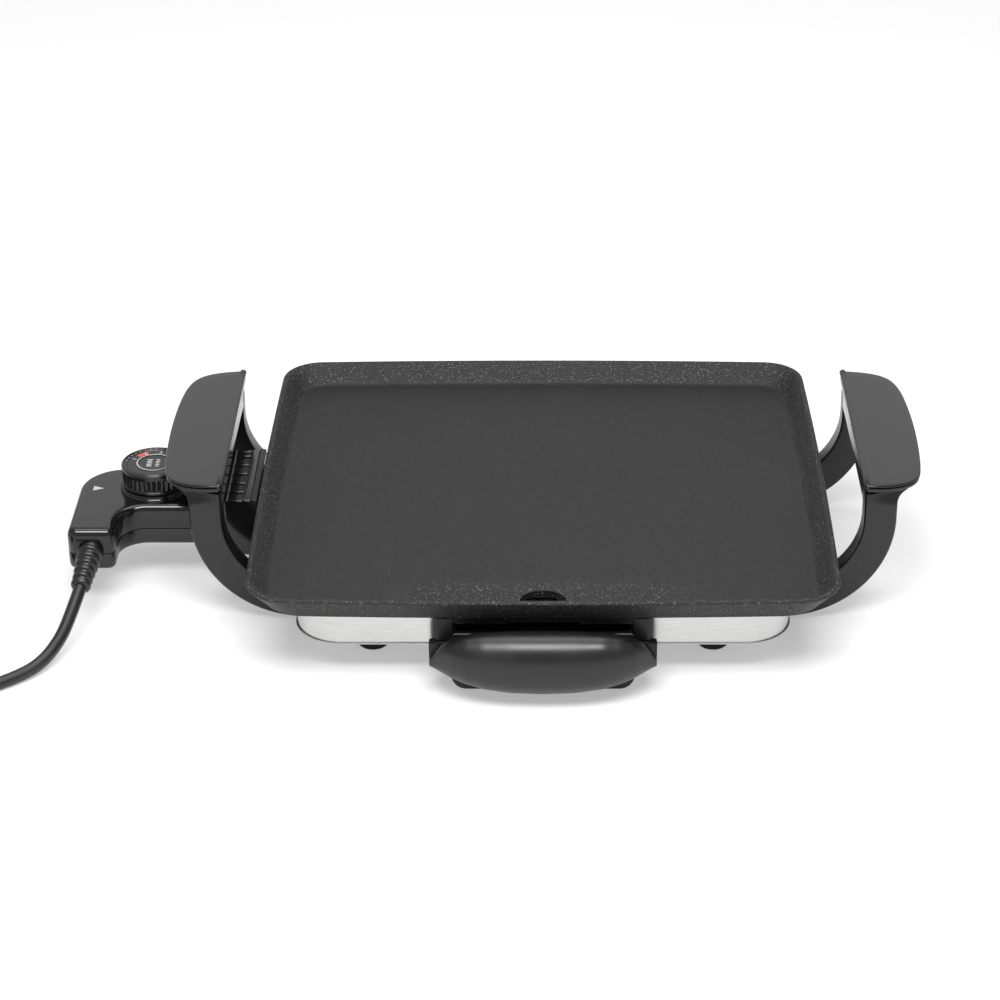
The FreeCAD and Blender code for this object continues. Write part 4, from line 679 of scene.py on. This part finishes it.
# ------------------------------------------------------- socket guard trim
def bar_box(name, x0, x1, y0, y1, z0, z1, r, mat, tilt=0.0):
    """A moulded bar with rounded upper edges, closed below."""
    rings = []
    for ins, dz in [(0.0, 0.0), (0.0, max(0.1, (z1 - z0) - r)), (r * 0.08, (z1 - z0) - r * 0.62), (r * 0.3, (z1 - z0) - r * 0.29), (r * 0.62, (z1 - z0) - r * 0.08), (r, (z1 - z0))]:
        ring = ortho_ring([(x0, y0), (x1, y0), (x1, y1), (x0, y1)], [r] * 4, ins, 5)
        rings.append([(x, y, z0 + dz + (tilt * (x - x0) / (x1 - x0) if dz > 0.05 else 0)) for x, y in ring])
    v, f = stack(rings)
    return build(name, [P(*p) for p in v], f, mat, "base", 35)


def guard_trim():
    bar_box("guard_rim_outer", -199.4, -195.6, -34.3, 34.3, 59.2, 60.7, 0.9, "gloss")
    bar_box("guard_rim_inner", -186.6, -181.2, -34.3, 34.3, 59.2, 60.9, 0.8, "gloss")
    ys = [-34.3, -22.5, -10.5, 2.0, 14.0, 26.0, 34.3]
    for i, (a, b) in enumerate(zip(ys, ys[1:])):
        if i == len(ys) - 2:
            bar_box("guard_rib_%d" % i, -195.8, -186.4, b - 2.6, b, 59.2, 60.5, 0.7, "gloss")
        bar_box("guard_rib_cross_%d" % i, -195.8, -186.4, a, a + (2.4 if i else 2.6), 59.2, 60.4 + 0.1 * (i % 2), 0.7, "gloss")
    bar_box("guard_sill", -181.2, -177.4, -34.8, 34.8, 59.6, 61.6, 0.6, "satin", -0.5)


guard_trim()


# -------------------------------------------------------------------- dial
def dial():
    seg = 36 * 10
    prof = [(3.0, 56.2), (18.4, 56.2), (19.7, 56.25), (20.3, 56.6), (20.5, 57.2), (20.5, 57.9), (20.2, 58.3), (19.8, 58.5), (19.9, 58.9), (20.1, 59.2), (20.1, 65.4), (20.1, 66.0), (20.2, 66.4), (20.35, 67.2), (20.35, 68.6), (20.2, 69.3), (19.9, 69.75), (19.5, 69.9), (19.1, 69.8), (18.85, 69.5), (18.6, 69.3), (17.9, 69.25), (17.4, 69.25), (17.2, 69.5), (16.9, 69.55), (16.6, 69.5), (16.4, 69.25), (11.3, 69.25), (11.05, 69.5), (10.75, 69.6), (10.4, 69.5), (10.2, 69.2), (3.0, 69.15)]
    rings = []
    for r, z in prof:
        ring = []
        for i in range(seg):
            a = 2 * math.pi * i / seg
            rr = r
            if 58.95 < z < 66.2:
                k = (1 - sstep(65.3, 66.3, z)) * sstep(58.8, 59.2, z)
                w = 0.5 + 0.5 * math.cos(a * 36)
                rr = r - 1.15 * (1 - w) ** 1.6 * k
            ring.append((rr * 1.02 * math.cos(a), rr * 1.02 * math.sin(a), z))
        rings.append(ring)
    v, f = stack(rings)
    build("dial_knob", [P(x - 244.5, y, z) for x, y, z in v], f, "knob", "dial", 40, ("knob", "knob_dial"))

    # printed marks: numbers round the ring, two short bars in the middle
    def text(body, x, y, z, size, rot, mat):
        cu = bpy.data.curves.new("t", "FONT")
        cu.body = body
        cu.size = size / 1000.0
        cu.align_x, cu.align_y = "CENTER", "CENTER"
        cu.extrude = 0.00006
        cu.offset = 0.00004
        o = bpy.data.objects.new("t", cu)
        scene.collection.objects.link(o)
        o.location = P(x - 244.5, y, z)
        o.rotation_euler = (0, 0, rot)
        bpy.context.view_layer.update()
        me = bpy.data.meshes.new_from_object(o.evaluated_get(bpy.context.evaluated_depsgraph_get()))
        me.transform(o.matrix_world)
        bpy.data.objects.remove(o)
        return me

    bm = bmesh.new()
    labels = ["1", "2", "3", "4", "5", "6"]
    for i, s in enumerate(labels):
        a = math.radians(160 - 40 * i)
        me = text(s, 13.9 * math.cos(a), 13.9 * math.sin(a), 69.28, 4.4, a - math.pi / 2, "print")
        bm.from_mesh(me)
        bpy.data.meshes.remove(me)
    me = bpy.data.meshes.new("dial_numbers")
    bm.to_mesh(me)
    bm.free()
    me.materials.append(MAT["print"])
    o = bpy.data.objects.new("dial_numbers", me)
    scene.collection.objects.link(o)
    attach(o, "dial")
    # ring lines and ticks
    verts, faces = [], []

    def add_ring(r0, r1, z, a0=0, a1=360, n=96):
        full = abs(a1 - a0) >= 359.9
        base = len(verts)
        m = n if full else n + 1
        for i in range(m):
            a = math.radians(a0 + (a1 - a0) * i / n)
            for r, zz in ((r0, z), (r1, z), (r1, z + 0.08), (r0, z + 0.08)):
                verts.append((r * math.cos(a), r * math.sin(a), zz))
        for i in range(n):
            p, q = base + 4 * i, base + 4 * ((i + 1) % m)
            for k in range(4):
                faces.append((p + k, p + (k + 1) % 4, q + (k + 1) % 4, q + k))
        if not full:
            faces.append((base, base + 3, base + 2, base + 1))
            e = base + 4 * n
            faces.append((e, e + 1, e + 2, e + 3))

    add_ring(10.45, 11.1, 69.56)
    for i in range(21):
        a = 170 - 11 * i
        add_ring(17.5 if i % 3 else 17.0, 18.5, 69.3, a - 0.8, a + 0.8, 2)
    build("dial_lines", [P(x - 244.5, y, z) for x, y, z in verts], faces, "print", "dial", 20)
    verts.clear()
    faces.clear()
    add_ring(12.4, 15.8, 69.22, 112, 142, 12)
    build("dial_red_mark", [P(x - 244.5, y, z) for x, y, z in verts], faces, "red", "dial", 20)
    verts.clear()
    faces.clear()

    def bar(x0, x1, y0, y1):
        b = len(verts)
        for z in (69.18, 69.3):
            verts.extend([(x0, y0, z), (x1, y0, z), (x1, y1, z), (x0, y1, z)])
        faces.extend([(b, b + 3, b + 2, b + 1), (b + 4, b + 5, b + 6, b + 7)] + [(b + k, b + (k + 1) % 4, b + 4 + (k + 1) % 4, b + 4 + k) for k in range(4)])

    for k in range(5):
        bar(-4.6, -1.3 - 0.4 * (k % 2), -5.0 + 2.1 * k, -4.0 + 2.1 * k)
        bar(0.9, 3.6 - 0.5 * ((k + 1) % 2), -5.0 + 2.1 * k, -4.0 + 2.1 * k)
    build("dial_centre_marks", [P(x - 244.5, y, z) for x, y, z in verts], faces, "print", "dial", 20)


dial()

# ------------------------------------------------- strain relief and lead
REL = Vector((-278.5, -58.2, 38.0))
RDIR = Vector((-0.10, -0.95, -0.30)).normalized()
REL_LEN = 31.0
TIP = REL + RDIR * REL_LEN


def relief():
    prof = [(4.0, -3.0), (8.2, -3.0), (8.3, -1.8), (7.0, -1.4), (6.9, 0.6)]
    for i in range(5):
        z0 = 2.6 + 5.2 * i
        r = 8.0 - 0.42 * i
        prof += [(r - 1.2, z0 - 1.5), (r - 0.35, z0 - 1.15), (r, z0 - 0.5), (r, z0 + 0.8), (r - 0.35, z0 + 1.45), (r - 1.3, z0 + 1.9), (r - 1.75, z0 + 2.5), (r - 1.8, z0 + 3.3)]
    prof += [(6.2, REL_LEN - 3.4), (6.15, REL_LEN - 2.0), (5.7, REL_LEN - 0.9), (4.9, REL_LEN - 0.2), (4.05, REL_LEN)]
    rings = lathe(prof, 48)
    rot = Vector((0, 0, 1)).rotation_difference(RDIR)
    v, f = stack(rings)
    pts = []
    for p in v:
        w = rot @ Vector(p) + REL
        pts.append(P(w.x, w.y, w.z))
    return build("lead_relief", pts, f, "cord", "probe", 40, ("strain_relief",))


relief_piece = relief()

COIL = Vector((-396.0, -120.0, 0.0))
route = [
    TIP,
    TIP + Vector((-3.5, -18.0, -8.0)),
    TIP + Vector((-8.5, -35.0, -16.5)),
    TIP + Vector((-18.5, -52.0, -23.0)),
    TIP + Vector((-34.5, -66.5, 0)),
    Vector((-334.0, -165.5, 4.0)),
    Vector((-355.0, -171.7, 4.0)),
    Vector((-378.0, -172.2, 4.0)),
]
route[3].z = 5.4
route[4].z = 4.0
R_OUT, R_IN, TURNS = 52.0, 35.0, 2.125
STEP = 2 * math.pi / 16
n_pts = int(round(2 * TURNS * 16))
for i in range(n_pts + 1):
    th = STEP * i
    a = -math.pi / 2 - th
    half = TURNS * 2 * math.pi
    if th <= half:
        r = R_OUT - (R_OUT - R_IN) * th / half
        z = 4.0
    else:
        r = R_IN + (R_OUT - R_IN) * (th - half) / half
        z = 4.0 + 8.0 * min(1.0, (th - half) / (2 * STEP))
    route.append(Vector((COIL.x + r * math.cos(a), COIL.y + r * math.sin(a), z)))
route += [
    Vector((COIL.x - R_OUT - 0.3, COIL.y + 16.0, 13.2)),
    Vector((COIL.x - R_OUT - 0.2, COIL.y + 27.0, 16.6)),
    Vector((COIL.x - R_OUT, COIL.y + 37.0, 18.5)),
]


def lead():
    cu = bpy.data.curves.new("mains_lead", "CURVE")
    cu.dimensions = "3D"
    sp = cu.splines.new("NURBS")
    sp.points.add(len(route) - 1)
    for p, w in zip(sp.points, route):
        p.co = (*P(w.x, w.y, w.z), 1.0)
    sp.order_u = 3
    sp.use_endpoint_u = True
    sp.resolution_u = 8
    cu.bevel_depth = 0.004
    cu.bevel_resolution = 8
    cu.use_fill_caps = True
    cu.materials.append(MAT["cord"])
    o = bpy.data.objects.new("mains_lead", cu)
    scene.collection.objects.link(o)
    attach(o, "probe")
    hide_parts("cord_run", "cord_coil", "cord_tail")
    return o


lead_piece = lead()


def plug():
    """Round two-pin mains plug with a ribbed boot and finger flats, lying on its side."""
    prof = [(4.1, 0.0), (5.3, 0.2), (5.7, 1.2)]
    for i in range(4):
        z0 = 3.0 + 3.6 * i
        r = 6.2 + 0.45 * i
        prof += [(r, z0 - 1.0), (r + 0.5, z0 - 0.4), (r + 0.5, z0 + 0.6), (r - 0.3, z0 + 1.3), (r - 0.4, z0 + 2.0)]
    prof += [(8.4, 18.0), (10.6, 20.0), (13.6, 23.0), (15.9, 26.6), (17.3, 30.0), (18.2, 34.0), (18.45, 38.0), (18.45, 44.8), (18.2, 45.6), (17.5, 46.0), (17.3, 46.6), (17.3, 47.6), (16.8, 48.0)]
    seg = 72
    rings = []
    for r, z in prof:
        ring = []
        for i in range(seg):
            a = 2 * math.pi * i / seg
            x, y = r * math.cos(a), r * math.sin(a)
            if z > 24:
                lim = 16.4 + 2.2 * (1 - sstep(26, 31, z)) + 2.2 * sstep(41, 45, z)
                x = max(-lim, min(lim, x))
            ring.append((x, y, z))
        rings.append(ring)
    v, f = stack(rings)
    base = Vector((COIL.x - R_OUT, COIL.y + 37.0, 18.5))
    pts = [P(base.x + x, base.y + z, base.z + y) for x, y, z in v]
    o = build("mains_plug", pts, f, "satin", "probe", 35, ("plug_body",))
    return o


plug_piece = plug()


def polyline_length(o):
    me = bpy.data.meshes.new_from_object(o)
    return me


probe_curve = lead_piece.data.copy()
probe_curve.bevel_depth = 0.0
tmp = bpy.data.objects.new("tmp_line", probe_curve)
scene.collection.objects.link(tmp)
bpy.context.view_layer.update()
tm = bpy.data.meshes.new_from_object(tmp.evaluated_get(bpy.context.evaluated_depsgraph_get()))
LEN = sum((tm.vertices[a].co - tm.vertices[b].co).length for a, b in (e.vertices for e in tm.edges))
bpy.data.objects.remove(tmp)
bpy.data.meshes.remove(tm)
print("lead length", LEN)

# ------------------------------------------------------------ studio stage
me = bpy.data.meshes.new("floor")
S = 12.0
me.from_pydata([(-S, -S, 0), (S, -S, 0), (S, S, 0), (-S, S, 0)], [], [(0, 1, 2, 3)])
floor = bpy.data.objects.new("floor", me)
scene.collection.objects.link(floor)
fm, fnt, fb, fvec = material("floor_white")
fb.inputs["Base Color"].default_value = (0.52, 0.52, 0.52, 1)
fb.inputs["Emission Color"].default_value = (1, 1, 1, 1)
fb.inputs["Emission Strength"].default_value = 0.38
fb.inputs["Roughness"].default_value = 0.9
fb.inputs["Specular IOR Level"].default_value = 0.1
me.materials.append(fm)

world = bpy.data.worlds.new("studio")
scene.world = world
world.use_nodes = True
bg = world.node_tree.nodes["Background"]
bg.inputs["Color"].default_value = (1, 1, 1, 1)
bg.inputs["Strength"].default_value = 0.5


def area(name, loc, aim, size, power):
    d = bpy.data.lights.new(name, "AREA")
    d.shape = "RECTANGLE"
    d.size, d.size_y = size
    d.energy = power
    o = bpy.data.objects.new(name, d)
    scene.collection.objects.link(o)
    o.location = loc
    o.rotation_euler = (Vector(aim) - Vector(loc)).to_track_quat("-Z", "Y").to_euler()
    return o


area("top_box", (0.0, 0.35, 1.9), (0, 0, 0), (1.6, 1.0), 15)
area("strip_box", (0.0, -0.95, 1.6), (0, 0, 0.03), (1.4, 0.6), 42)
area("back_box", (0.0, 2.2, 1.15), (0, 0, 0.05), (2.6, 1.0), 3.6)
scene.view_settings.view_transform = "Standard"
scene.view_settings.look = "None"
scene.view_settings.exposure = 0.0
